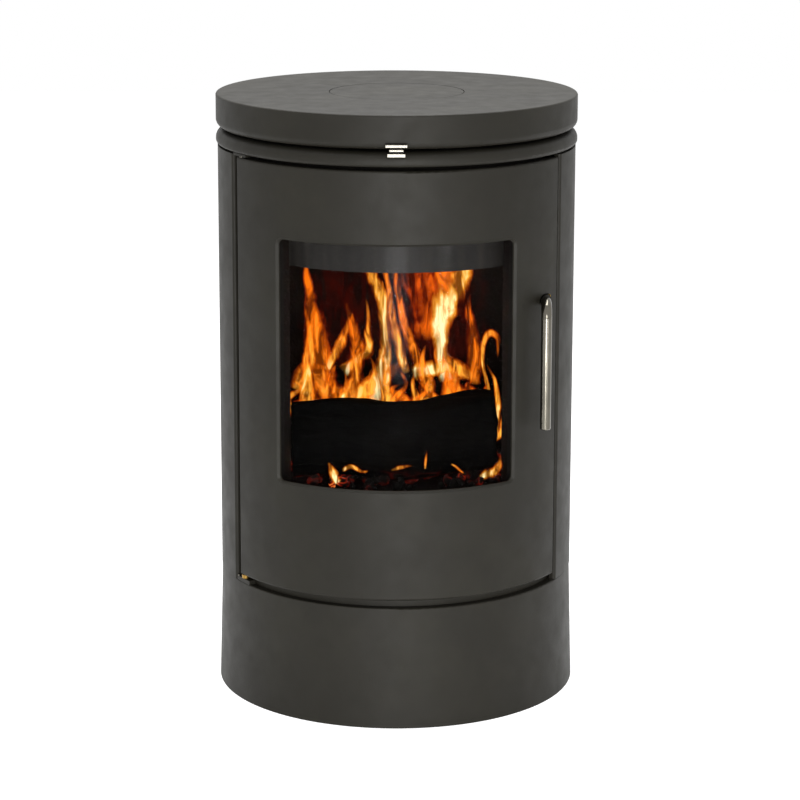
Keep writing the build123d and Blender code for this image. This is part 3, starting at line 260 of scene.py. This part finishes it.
# Glass ceramic with a breath of smoke on it: nearly clear, a trace of grey brown in soft patches.
stove_glass, tree, shader, place = finish_of("clear glass ceramic", IOR=1.47, Roughness=0.05)
haze = add(tree, "ShaderNodeTexNoise", {"Scale": 1000 / HAZE_PATCH, "Detail": 5.0, "Roughness": 0.6},
           {"Vector": place})
brown = add(tree, "ShaderNodeValToRGB", wires={"Fac": haze.outputs["Fac"]},
            stops=((0.3, "#0b0a09"), (0.8, "#2a2622")))
film = add(tree, "ShaderNodeMapRange", {"From Min": 0.35, "From Max": 0.8, "To Min": 0.008, "To Max": 0.028},
           {"Value": haze.outputs["Fac"]})
wire(tree, shader, {"Base Color": brown.outputs["Color"], "Alpha": film.outputs["Result"]})
stove_glass.surface_render_method = "BLENDED"
dress(stove_glass, "door_glass")

# The rope in the door's groove and the flat tape under the glass: glass fibre, knitted soft.
# Both are glued in, and the shut door presses the rope flat against the front frame.
KNIT_RIB = 3.0
# One rib is half a wave, and at a scale of 1 half a wave is about 1000 / 6.28 mm.
RIB_SCALE = 1000 / KNIT_RIB / 6.28
# Knitted glass fibre: charcoal grey and soft, in ribs that lean one way and are crossed by others.
fibre, tree, shader, place = finish_of("knitted glass fibre", Roughness=0.95, Specular_IOR_Level=0.2)
lean = add(tree, "ShaderNodeTexWave", {"Scale": RIB_SCALE, "Distortion": 0.6}, {"Vector": place},
           bands_direction="DIAGONAL")
cross = add(tree, "ShaderNodeMapping", {"Rotation": (0.0, 0.0, math.radians(90))}, {"Vector": place})
other = add(tree, "ShaderNodeTexWave", {"Scale": RIB_SCALE, "Distortion": 0.6},
            {"Vector": cross.outputs["Vector"]}, bands_direction="DIAGONAL")
knit = add(tree, "ShaderNodeMath", wires={0: lean.outputs["Fac"], 1: other.outputs["Fac"]}, operation="MULTIPLY")
yarn = add(tree, "ShaderNodeValToRGB", wires={"Fac": knit.outputs["Value"]},
           stops=((0.0, "#23211f"), (0.6, "#56524c")))
ribs = add(tree, "ShaderNodeBump", {"Strength": 0.7, "Distance": 0.001}, {"Height": knit.outputs["Value"]})
wire(tree, shader, {"Base Color": yarn.outputs["Color"], "Normal": ribs.outputs["Normal"]})
dress(fibre, "door_rope_gasket", "glass_gasket")

# The bed of embers on the grate: lumps of burnt wood 10 to 22 mm across that fell from the logs.
# They lie loose on the hearth plate, under and in front of the logs.
EMBER_COUNT, EMBER_SEED = 150, 11
SMALLEST_LUMP, LARGEST_LUMP = 5.0, 11.0
# The bed is an ellipse of these half widths with its middle here, in m.
BED_HALF_WIDTH, BED_HALF_DEPTH = 0.150, 0.108
BED_MIDDLE = (0, -0.045, 0.281)
CRUST_CELL, EMBER_HEAT = 9.0, 55.0


def plain_mesh(name, build, *sizes):
    """A new object from a bmesh that build fills, from the sizes given."""
    shell = bmesh.new()
    build(shell, *sizes)
    mesh = bpy.data.meshes.new(name)
    shell.to_mesh(mesh)
    shell.free()
    mesh_object = bpy.data.objects.new(name, mesh)
    bpy.context.scene.collection.objects.link(mesh_object)
    return mesh_object


def smooth(mesh_object):
    """Shades every face of the piece smooth."""
    for face in mesh_object.data.polygons:
        face.use_smooth = True


def ember_bed(shell):
    """The flat patch that the embers are strewn on."""
    bmesh.ops.create_circle(shell, cap_ends=True, segments=48, radius=1.0, matrix=Matrix.Translation(BED_MIDDLE)
                            @ Matrix.Diagonal((BED_HALF_WIDTH, BED_HALF_DEPTH, 1, 1)))


def ember_lump(shell):
    """One lump of charcoal, 2 mm across before it is scaled: uneven, and flatter than it is wide."""
    bmesh.ops.create_icosphere(shell, subdivisions=2, radius=0.001)
    for point in shell.verts:
        point.co *= 0.8 + 0.5 * noise.noise(point.co * 1400)
        point.co.z *= 0.75


# Glowing charcoal: black crust with a thin grey ash, and red to orange light in the cracks between its cells.
charcoal, tree, shader, place = finish_of("glowing charcoal", Roughness=0.95, Specular_IOR_Level=0.1,
                                          Emission_Strength=0.9)
cells = add(tree, "ShaderNodeTexVoronoi", {"Scale": 1000 / CRUST_CELL}, {"Vector": place},
            feature="DISTANCE_TO_EDGE")
hot = add(tree, "ShaderNodeTexNoise", {"Scale": 1000 / EMBER_HEAT, "Detail": 3.0}, {"Vector": place})
cracks = add(tree, "ShaderNodeMapRange", {"From Min": 0.0, "From Max": 0.16, "To Min": 1.0, "To Max": 0.0},
             {"Value": cells.outputs["Distance"]})
patches = add(tree, "ShaderNodeMapRange", {"From Min": 0.48, "From Max": 0.66, "To Min": 0.0, "To Max": 1.0},
              {"Value": hot.outputs["Fac"]})
glow = add(tree, "ShaderNodeMath", wires={0: cracks.outputs["Result"], 1: patches.outputs["Result"]},
           operation="MULTIPLY")
crust = add(tree, "ShaderNodeValToRGB", wires={"Fac": hot.outputs["Fac"]},
            stops=((0.35, "#0b0908"), (0.7, "#1d1815")))
light = add(tree, "ShaderNodeValToRGB", wires={"Fac": glow.outputs["Value"]},
            stops=((0.0, "#000000"), (0.35, "#5a0d05"), (0.7, "#c43a10"), (1.0, "#ffa040")))
broken = add(tree, "ShaderNodeBump", {"Strength": 0.8, "Distance": 0.002}, {"Height": cells.outputs["Distance"]})
wire(tree, shader, {"Base Color": crust.outputs["Color"], "Emission Color": light.outputs["Color"],
                    "Normal": broken.outputs["Normal"]})

bed = plain_mesh("embers", ember_bed)
lump = plain_mesh("ember_lump", ember_lump)
strew = bpy.data.node_groups.new("strewn embers", "GeometryNodeTree")
sockets = {}
for label, kind in (("Geometry", "NodeSocketGeometry"), ("Lump", "NodeSocketObject"), ("Count", "NodeSocketInt"),
                    ("Seed", "NodeSocketInt"), ("Smallest", "NodeSocketFloat"), ("Largest", "NodeSocketFloat"),
                    ("Finish", "NodeSocketMaterial")):
    sockets[label] = strew.interface.new_socket(label, in_out="INPUT", socket_type=kind).identifier
strew.interface.new_socket("Geometry", in_out="OUTPUT", socket_type="NodeSocketGeometry")
given = add(strew, "NodeGroupInput").outputs
face_area = add(strew, "GeometryNodeInputMeshFaceArea")
area = add(strew, "GeometryNodeAttributeStatistic",
           wires={"Geometry": given["Geometry"], "Attribute": face_area.outputs["Area"]}, domain="FACE")
density = add(strew, "ShaderNodeMath", wires={0: given["Count"], 1: area.outputs["Sum"]}, operation="DIVIDE")
points = add(strew, "GeometryNodeDistributePointsOnFaces",
             wires={"Mesh": given["Geometry"], "Density": density.outputs["Value"], "Seed": given["Seed"]})
turn = add(strew, "FunctionNodeRandomValue", {"Max": (6.28, 6.28, 6.28)}, {"Seed": given["Seed"]},
           data_type="FLOAT_VECTOR")
growth = add(strew, "FunctionNodeRandomValue",
             wires={2: given["Smallest"], 3: given["Largest"], "Seed": given["Seed"]}, data_type="FLOAT")
shape = add(strew, "GeometryNodeObjectInfo", wires={"Object": given["Lump"]})
strewn = add(strew, "GeometryNodeInstanceOnPoints",
             wires={"Points": points.outputs["Points"], "Instance": shape.outputs["Geometry"],
                    "Rotation": turn.outputs["Value"], "Scale": growth.outputs["Value"]})
solid = add(strew, "GeometryNodeRealizeInstances", wires={"Geometry": strewn.outputs["Instances"]})
painted = add(strew, "GeometryNodeSetMaterial",
              wires={"Geometry": solid.outputs["Geometry"], "Material": given["Finish"]})
add(strew, "NodeGroupOutput", wires={"Geometry": painted.outputs["Geometry"]})
strewing = bed.modifiers.new("strewn embers", "NODES")
strewing.node_group = strew
for label, value in (("Lump", lump), ("Count", EMBER_COUNT), ("Seed", EMBER_SEED), ("Smallest", SMALLEST_LUMP),
                     ("Largest", LARGEST_LUMP), ("Finish", charcoal)):
    strewing[sockets[label]] = value
baked = bpy.data.meshes.new_from_object(bed.evaluated_get(bpy.context.evaluated_depsgraph_get()))
bed.modifiers.remove(strewing)
bed.data = baked
bpy.data.objects.remove(lump)
smooth(bed)
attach(bed, "stove_body")

# The logs: split beech, laid crosswise on the embers, burnt black outside.
# One thick log lies across the front, and the ends of three thinner ones stick up behind it.
# Each is (name, one end, other end, thickness there, thickness at the other end, seed), in mm.
LOGS = (("front_log", (-129, -80, 318), (123, -72, 322), 46, 50, 3),
        ("left_log", (-112, 8, 348), (-22, 70, 318), 40, 36, 8),
        ("middle_log", (-34, 22, 352), (66, -18, 352), 27, 33, 14),
        ("right_log", (58, 40, 346), (122, -20, 352), 34, 36, 21))
LOG_AROUND, LOG_RINGS = 72, 46
# How far a log bows, its split sides and its bark stand out, and its ends are ragged, in mm.
LOG_BOW, SPLIT_RIDGE, BARK_LUMP, RAGGED_END = 22, 8.0, 2.4, 4
BURNT_SQUARE, GRAIN_PULL, LOG_HEAT = 13.0, 0.45, 70.0
# A log glows only below this height and fully below that one, in m.
GLOW_TOP, GLOW_FULL = 0.296, 0.278
# Burnt wood: dead black, split into small squares by heat along and across the grain, with red light in a few of
# the cracks.
burnt_wood, tree, shader, place = finish_of("charred split wood", Roughness=0.9, Specular_IOR_Level=0.02,
                                            Emission_Strength=0.8)
grain = add(tree, "ShaderNodeMapping", {"Scale": (GRAIN_PULL, 1.0, 1.0)}, {"Vector": place})
checks = add(tree, "ShaderNodeTexVoronoi", {"Scale": 1000 / BURNT_SQUARE}, {"Vector": grain.outputs["Vector"]},
             feature="DISTANCE_TO_EDGE")
hot = add(tree, "ShaderNodeTexNoise", {"Scale": 1000 / LOG_HEAT, "Detail": 3.0}, {"Vector": place})
spot = add(tree, "ShaderNodeSeparateXYZ", wires={"Vector": place})
under = add(tree, "ShaderNodeMapRange", {"From Min": GLOW_FULL, "From Max": GLOW_TOP, "To Min": 1.0, "To Max": 0.0},
            {"Value": spot.outputs["Z"]})
cracks = add(tree, "ShaderNodeMapRange", {"From Min": 0.0, "From Max": 0.09, "To Min": 1.0, "To Max": 0.0},
             {"Value": checks.outputs["Distance"]})
patches = add(tree, "ShaderNodeMapRange", {"From Min": 0.5, "From Max": 0.66, "To Min": 0.0, "To Max": 1.0},
              {"Value": hot.outputs["Fac"]})
glow = add(tree, "ShaderNodeMath", wires={0: cracks.outputs["Result"], 1: patches.outputs["Result"]},
           operation="MULTIPLY")
glow = add(tree, "ShaderNodeMath", wires={0: glow.outputs["Value"], 1: under.outputs["Result"]},
           operation="MULTIPLY")
char = add(tree, "ShaderNodeValToRGB", wires={"Fac": hot.outputs["Fac"]},
           stops=((0.35, "#030303"), (0.75, "#070605")))
light = add(tree, "ShaderNodeValToRGB", wires={"Fac": glow.outputs["Value"]},
            stops=((0.0, "#000000"), (0.4, "#600f05"), (1.0, "#e0500f")))
split = add(tree, "ShaderNodeBump", {"Strength": 0.9, "Distance": 0.003}, {"Height": checks.outputs["Distance"]})
wire(tree, shader, {"Base Color": char.outputs["Color"], "Emission Color": light.outputs["Color"],
                    "Normal": split.outputs["Normal"]})


def log_shape(shell, start, end, thick, thick_end, seed):
    """A log with a ridged, uneven side and two broken ends."""
    start, end = Vector(start) / 1000, Vector(end) / 1000
    run = end - start
    side = run.cross(Vector((0, 0, 1))).normalized()
    up = side.cross(run).normalized()
    loops = []
    for i in range(LOG_RINGS + 1):
        t = i / LOG_RINGS
        spine = start + run * t + up * (LOG_BOW / 1000) * noise.noise(Vector((t * 2.2, seed * 0.37, 0.4)))
        loop = []
        for j in range(LOG_AROUND):
            angle = 2 * math.pi * j / LOG_AROUND
            c, s = math.cos(angle), math.sin(angle)
            ridge = noise.noise(Vector((c * 2.2, s * 2.2, t * 1.3 + seed)))
            bark = noise.noise(Vector((c * 9, s * 9, t * 9 + seed)))
            radius = (thick + (thick_end - thick) * t + SPLIT_RIDGE * ridge + BARK_LUMP * bark) / 1000
            point = spine + (side * c + up * s) * radius
            if i in (0, LOG_RINGS):
                ragged = RAGGED_END / 1000 * noise.noise(Vector((c * 3, s * 3, seed + 5 * round(t))))
                point += run.normalized() * ragged
            loop.append(shell.verts.new(point))
        loops.append(loop)
    for below, above in zip(loops, loops[1:]):
        for j in range(LOG_AROUND):
            k = (j + 1) % LOG_AROUND
            shell.faces.new((below[j], below[k], above[k], above[j]))
    for loop, t in ((loops[0], 0.0), (loops[-1], 1.0)):
        middle = [shell.verts.new(v.co.lerp(start + run * t, 0.5)) for v in loop]
        hub = shell.verts.new(start + run * t)
        for j in range(LOG_AROUND):
            k = (j + 1) % LOG_AROUND
            shell.faces.new((loop[j], middle[j], middle[k], loop[k]))
            shell.faces.new((middle[j], hub, middle[k]))
    bmesh.ops.recalc_face_normals(shell, faces=shell.faces)


for name, *sizes in LOGS:
    log = plain_mesh(name, log_shape, *sizes)
    log.data.materials.append(burnt_wood)
    smooth(log)
    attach(log, "stove_body")

# The flames: burning wood gas, so they have no thickness; each tongue is one thin curved sheet that rises from the
# logs and leans on the draught. The tall ones come first here, and the small ones near the embers last.
# Each is (depth in the fire, heat, points up its middle as x, z and half its width), in mm.
FLAMES = (
    (-60, 0.55, ((-84, 372, 12), (-92, 402, 19), (-99, 440, 20), (-102, 474, 15), (-108, 512, 8), (-113, 545, 4),
                 (-118, 570, 1))),
    (-64, 0.80, ((-112, 380, 12), (-110, 402, 12), (-106, 428, 7), (-108, 460, 5), (-113, 492, 2))),
    (-52, 0.70, ((-126, 384, 10), (-118, 404, 10), (-104, 412, 8), (-88, 408, 3))),
    (-58, 0.60, ((-58, 368, 14), (-52, 396, 13), (-49, 428, 13), (-52, 452, 10), (-57, 476, 6), (-62, 496, 2))),
    (-50, 0.85, ((-66, 404, 10), (-48, 420, 9), (-34, 430, 9), (-36, 452, 6), (-34, 474, 4), (-38, 500, 1))),
    (-40, 0.75, ((-88, 406, 7), (-78, 424, 8), (-66, 444, 8), (-60, 470, 2))),
    (-64, 0.95, ((-26, 368, 14), (-20, 400, 15), (-14, 432, 10), (-13, 462, 8), (-17, 492, 9), (-27, 522, 10),
                 (-35, 552, 10), (-31, 580, 9), (-25, 604, 6))),
    (-48, 0.72, ((12, 402, 8), (4, 434, 8), (-3, 468, 6), (-9, 506, 5), (-14, 540, 4), (-16, 570, 1))),
    (-44, 0.55, ((34, 404, 10), (22, 430, 9), (10, 462, 7), (3, 500, 6), (-2, 532, 5), (-4, 562, 1))),
    (10, 0.02, ((-70, 400, 58), (-66, 450, 60), (-60, 500, 56), (-64, 560, 40))),
    (14, 0.04, ((60, 400, 60), (56, 460, 66), (48, 520, 66), (44, 590, 58))),
    (-30, 0.30, ((46, 440, 30), (44, 480, 30), (34, 520, 30), (22, 556, 32), (18, 590, 30), (16, 612, 22))),
    (-36, 0.45, ((70, 470, 9), (64, 500, 13), (56, 530, 18), (50, 560, 24), (44, 590, 22), (40, 612, 10))),
    (-62, 1.00, ((66, 396, 16), (58, 420, 14), (54, 446, 12), (56, 472, 17), (66, 498, 22), (78, 526, 18),
                 (86, 556, 11), (90, 586, 7), (94, 612, 4))),
    (-54, 0.90, ((20, 404, 12), (42, 412, 13), (62, 414, 14), (82, 406, 12), (100, 396, 5))),
    (-66, 0.80, ((-70, 372, 8), (-52, 380, 12), (-34, 388, 14), (-12, 404, 12), (6, 420, 4))),
    (-58, 0.50, ((98, 392, 9), (98, 424, 12), (94, 458, 9), (90, 486, 6), (92, 508, 1))),
    (-70, 0.75, ((118, 380, 3), (108, 416, 3), (108, 444, 4), (116, 458, 6), (126, 452, 4), (126, 430, 1))),
    (-92, 0.90, ((124, 332, 3), (124, 352, 5), (126, 376, 5), (122, 404, 3), (112, 424, 1))),
    (-96, 0.70, ((122, 330, 4), (132, 344, 6), (137, 364, 5), (140, 380, 1))),
    (-112, 0.95, ((104, 284, 4), (116, 290, 8), (126, 300, 6), (130, 316, 1))),
    (-134, 1.00, ((-70, 286, 6), (-77, 296, 6), (-83, 310, 1))),
    (-132, 0.85, ((-66, 300, 3), (-54, 303, 4), (-42, 299, 3), (-34, 301, 1))),
    (-134, 0.90, ((-6, 302, 1), (2, 304, 3), (10, 304, 3), (20, 306, 1))),
    (-136, 0.80, ((36, 302, 1), (36, 312, 2), (38, 326, 1))),
    (-132, 0.75, ((68, 308, 1), (76, 302, 2), (84, 298, 1))),
)
# Small licks stand close together along the top of the front log, low and bright, at uneven heights.
LICK_COUNT, FIRST_LICK, LICK_STEP = 30, -124, 8.2
LICK_HEIGHTS = (36, 44, 52, 66, 90)
chance = random.Random(7)
LICKS = []
for i in range(LICK_COUNT):
    x = FIRST_LICK + LICK_STEP * i + chance.uniform(-6, 6)
    high = chance.choice(LICK_HEIGHTS) * chance.uniform(0.9, 1.2)
    sway, base, half = chance.uniform(-12, 12), chance.uniform(338, 352), chance.uniform(6, 13)
    depth, heat_here = chance.uniform(-66, -30), chance.uniform(0.42, 0.85)
    LICKS.append((depth, heat_here, ((x, base, half), (x + sway, base + high * 0.4, half),
                                     (x - sway * 0.6, base + high * 0.75, half * 0.5),
                                     (x + sway * 0.5, base + high, 1))))
# How many faces a tongue has across and along, and how far it sways back and forth, in mm.
TONGUE_ACROSS, TONGUE_ALONG, TONGUE_SWAY = 14, 40, 5
# How deep a tongue is hollowed, as a share of half its width.
TONGUE_HOLLOW = 0.35
GAS_CURL, GAS_THREAD, THREAD_PULL = 30.0, 12.0, 0.22
# Flame: no surface at all, only light; white yellow where the gas burns hottest, orange to red at thin edges and
# tips. Its place across and along each tongue and its heat are kept as two UV maps.
flame, tree, shader, place = finish_of("burning wood gas", Roughness=1.0, Specular_IOR_Level=0.0,
                                       Base_Color=linear("#000000"), Emission_Strength=1.35)
on_sheet = add(tree, "ShaderNodeUVMap", uv_map="flame")
heat_map = add(tree, "ShaderNodeUVMap", uv_map="heat")
heat = add(tree, "ShaderNodeSeparateXYZ", wires={"Vector": heat_map.outputs["UV"]})
across = add(tree, "ShaderNodeSeparateXYZ", wires={"Vector": on_sheet.outputs["UV"]})
curl = add(tree, "ShaderNodeTexNoise", {"Scale": 1000 / GAS_CURL, "Detail": 2.0, "Distortion": 0.8},
           {"Vector": place})
bent = add(tree, "ShaderNodeMath", {1: 1.1, 2: -0.55}, {0: curl.outputs["Fac"]}, operation="MULTIPLY_ADD")
off = add(tree, "ShaderNodeMath", wires={0: across.outputs["X"], 1: bent.outputs["Value"]}, operation="ADD")
wide = add(tree, "ShaderNodeMath", wires={0: off.outputs["Value"]}, operation="ABSOLUTE")
body = add(tree, "ShaderNodeMapRange", {"From Min": 0.35, "From Max": 0.95, "To Min": 1.0, "To Max": 0.0},
           {"Value": wide.outputs["Value"]})
foot = add(tree, "ShaderNodeMapRange", {"From Min": 0.0, "From Max": 0.10, "To Min": 0.0, "To Max": 1.0},
           {"Value": across.outputs["Y"]})
tip = add(tree, "ShaderNodeMapRange", {"From Min": 0.72, "From Max": 1.0, "To Min": 1.0, "To Max": 0.0},
          {"Value": across.outputs["Y"]})
rise = add(tree, "ShaderNodeMapping", {"Scale": (1.0, 1.0, THREAD_PULL)}, {"Vector": place})
threads = add(tree, "ShaderNodeTexNoise", {"Scale": 1000 / GAS_THREAD, "Detail": 4.0, "Distortion": 1.2},
              {"Vector": rise.outputs["Vector"]})
strands = add(tree, "ShaderNodeMapRange", {"From Min": 0.40, "From Max": 0.62, "To Min": 0.15, "To Max": 1.0},
              {"Value": threads.outputs["Fac"]})
cover = add(tree, "ShaderNodeMath", wires={0: body.outputs["Result"], 1: foot.outputs["Result"]},
            operation="MULTIPLY")
cover = add(tree, "ShaderNodeMath", wires={0: cover.outputs["Value"], 1: tip.outputs["Result"]},
            operation="MULTIPLY")
cover = add(tree, "ShaderNodeMath", wires={0: cover.outputs["Value"], 1: strands.outputs["Result"]},
            operation="MULTIPLY", use_clamp=True)
warmth = add(tree, "ShaderNodeMath", {1: 0.55}, {0: strands.outputs["Result"]}, operation="MULTIPLY")
warmth = add(tree, "ShaderNodeMath", wires={0: warmth.outputs["Value"], 1: body.outputs["Result"]},
             operation="ADD")
warmth = add(tree, "ShaderNodeMath", wires={0: warmth.outputs["Value"], 1: heat.outputs["X"]},
             operation="MULTIPLY")
cooling = add(tree, "ShaderNodeMapRange", {"From Min": 0.1, "From Max": 1.0, "To Min": 0.75, "To Max": 0.4},
              {"Value": across.outputs["Y"]})
warmth = add(tree, "ShaderNodeMath", wires={0: warmth.outputs["Value"], 1: cooling.outputs["Result"]},
             operation="MULTIPLY")
light = add(tree, "ShaderNodeValToRGB", wires={"Fac": warmth.outputs["Value"]},
            stops=((0.0, "#220402"), (0.08, "#3c0a04"), (0.22, "#a8300a"), (0.45, "#f5710d"), (0.75, "#ffad38"),
                   (1.0, "#fff0b0")))
wire(tree, shader, {"Emission Color": light.outputs["Color"], "Alpha": cover.outputs["Value"]})
flame.surface_render_method = "BLENDED"


def smooth_path(stations):
    """Points on the smooth curve through the stations, one for each step along a tongue."""
    ends = [stations[0], *stations, stations[-1]]
    for i in range(TONGUE_ALONG + 1):
        t = i / TONGUE_ALONG * (len(stations) - 1)
        k = min(int(t), len(stations) - 2)
        t -= k
        a, b, c, d = (Vector(p) for p in ends[k:k + 4])
        yield 0.5 * (2 * b + (c - a) * t + (2 * a - 5 * b + 4 * c - d) * t * t + (3 * b - a - 3 * c + d) * t ** 3)


def flame_sheets(shell):
    """Every tongue as a strip, with its own heat and its place across and along kept on it."""
    shell.loops.layers.uv.new("flame")
    shell.loops.layers.uv.new("heat")
    place_on, heat_of = shell.loops.layers.uv["flame"], shell.loops.layers.uv["heat"]
    for depth, tongue_heat, stations in (*FLAMES, *LICKS):
        spine = list(smooth_path(stations))
        rows = []
        for i, here in enumerate(spine):
            ahead = spine[min(i + 1, TONGUE_ALONG)] - spine[max(i - 1, 0)]
            sideways = Vector((ahead.y, -ahead.x)).normalized()
            half = abs(here.z)
            row = []
            for j in range(TONGUE_ACROSS + 1):
                u = 2 * j / TONGUE_ACROSS - 1
                x, z = here.x + sideways.x * u * half, here.y + sideways.y * u * half
                y = depth + TONGUE_SWAY * math.sin(i / TONGUE_ALONG * 5 + depth) + TONGUE_HOLLOW * half * u * u
                row.append((shell.verts.new((x / 1000, y / 1000, z / 1000)), (u, i / TONGUE_ALONG)))
            rows.append(row)
        for low_row, high_row in zip(rows, rows[1:]):
            for j in range(TONGUE_ACROSS):
                corners = (low_row[j], low_row[j + 1], high_row[j + 1], high_row[j])
                face = shell.faces.new([point for point, on in corners])
                for loop, (point, on) in zip(face.loops, corners):
                    loop[place_on].uv = on
                    loop[heat_of].uv = (tongue_heat, 0)


fire = plain_mesh("flames", flame_sheets)
fire.data.materials.append(flame)
smooth(fire)
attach(fire, "stove_body")

# The room: a matt white floor and white surroundings, so that the paint has something pale to mirror.
# One large soft lamp hangs overhead, one stands in front, and two small ones light the lower half of the door.
FLOOR_HALF = 6.0
FLOOR_LIFT, ROOM_LIGHT = 0.62, 0.5


def floor_sheet(shell):
    """A square floor, centred under the stove."""
    bmesh.ops.create_grid(shell, x_segments=1, y_segments=1, size=FLOOR_HALF)


def looked_at(tree):
    """1 where the camera, a reflection or the glass looks, and 0 where the surface only throws light."""
    path = add(tree, "ShaderNodeLightPath").outputs
    seen = add(tree, "ShaderNodeMath", wires={0: path["Is Camera Ray"], 1: path["Is Glossy Ray"]},
               operation="MAXIMUM")
    seen = add(tree, "ShaderNodeMath", wires={0: seen.outputs["Value"], 1: path["Is Transmission Ray"]},
               operation="MAXIMUM")
    return seen.outputs["Value"]


def soft_lamp(name, at, towards, size, watts):
    """A square lamp that faces the given point."""
    lamp = bpy.data.lights.new(name, "AREA")
    lamp.size = size
    lamp.energy = watts
    holder = bpy.data.objects.new(name, lamp)
    holder.visible_camera = False
    holder.location = at
    holder.rotation_euler = (Vector(towards) - Vector(at)).to_track_quat("-Z", "Y").to_euler()
    bpy.context.scene.collection.objects.link(holder)


# Matt white floor: pale and even, lifted by a little light of its own so that it runs into the white behind.
white_floor, tree, shader, place = finish_of("matt white floor", Roughness=1.0, Specular_IOR_Level=0.0,
                                             Base_Color=linear("#dedede"), Emission_Color=linear("#ffffff"))
lift = add(tree, "ShaderNodeMath", {1: FLOOR_LIFT}, {0: looked_at(tree)}, operation="MULTIPLY")
wire(tree, shader, {"Emission Strength": lift.outputs["Value"]})
floor = plain_mesh("floor", floor_sheet)
floor.data.materials.append(white_floor)

world = bpy.data.worlds.new("white room")
world.use_nodes = True
bpy.context.scene.world = world
tree = world.node_tree
level = add(tree, "ShaderNodeMath", {1: 1 - ROOM_LIGHT, 2: ROOM_LIGHT}, {0: looked_at(tree)},
            operation="MULTIPLY_ADD")
sky = tree.nodes["Background"]
sky.inputs["Color"].default_value = linear("#ffffff")
wire(tree, sky, {"Strength": level.outputs["Value"]})

soft_lamp("front_lamp", (0.1, -4.3, 1.2), (0, 0, 0.4), 1.1, 50)
soft_lamp("low_lamp", (0.02, -2.1, 0.15), (0, 0, 0.45), 0.5, 21)
soft_lamp("low_side_lamp", (1.1, -1.9, 0.15), (0, 0, 0.45), 0.3, 3)
soft_lamp("top_lamp", (0.0, 0.3, 2.6), (0, 0, 0.7), 1.8, 88)

# The camera: straight in front of the stove and above its top plate, looking down a little.
# The shift is only what puts the stove where the photograph has it.
CAMERA_AT = (0.00468, -3.4295, 1.1807)
LOOKS_DOWN, ROLL = 11.845, 0.125
LENS, FILM_WIDTH, SHIFT_DOWN = 124.67, 36.0, -0.1
lens = bpy.data.cameras.new("camera")
lens.lens = LENS
lens.sensor_width = FILM_WIDTH
lens.shift_y = SHIFT_DOWN
camera = bpy.data.objects.new("camera", lens)
turned = Matrix.Rotation(math.radians(90 - LOOKS_DOWN), 4, "X") @ Matrix.Rotation(math.radians(ROLL), 4, "Z")
camera.matrix_world = Matrix.Translation(CAMERA_AT) @ turned
bpy.context.scene.collection.objects.link(camera)
bpy.context.scene.camera = camera
bpy.context.scene.view_settings.view_transform = "Standard"
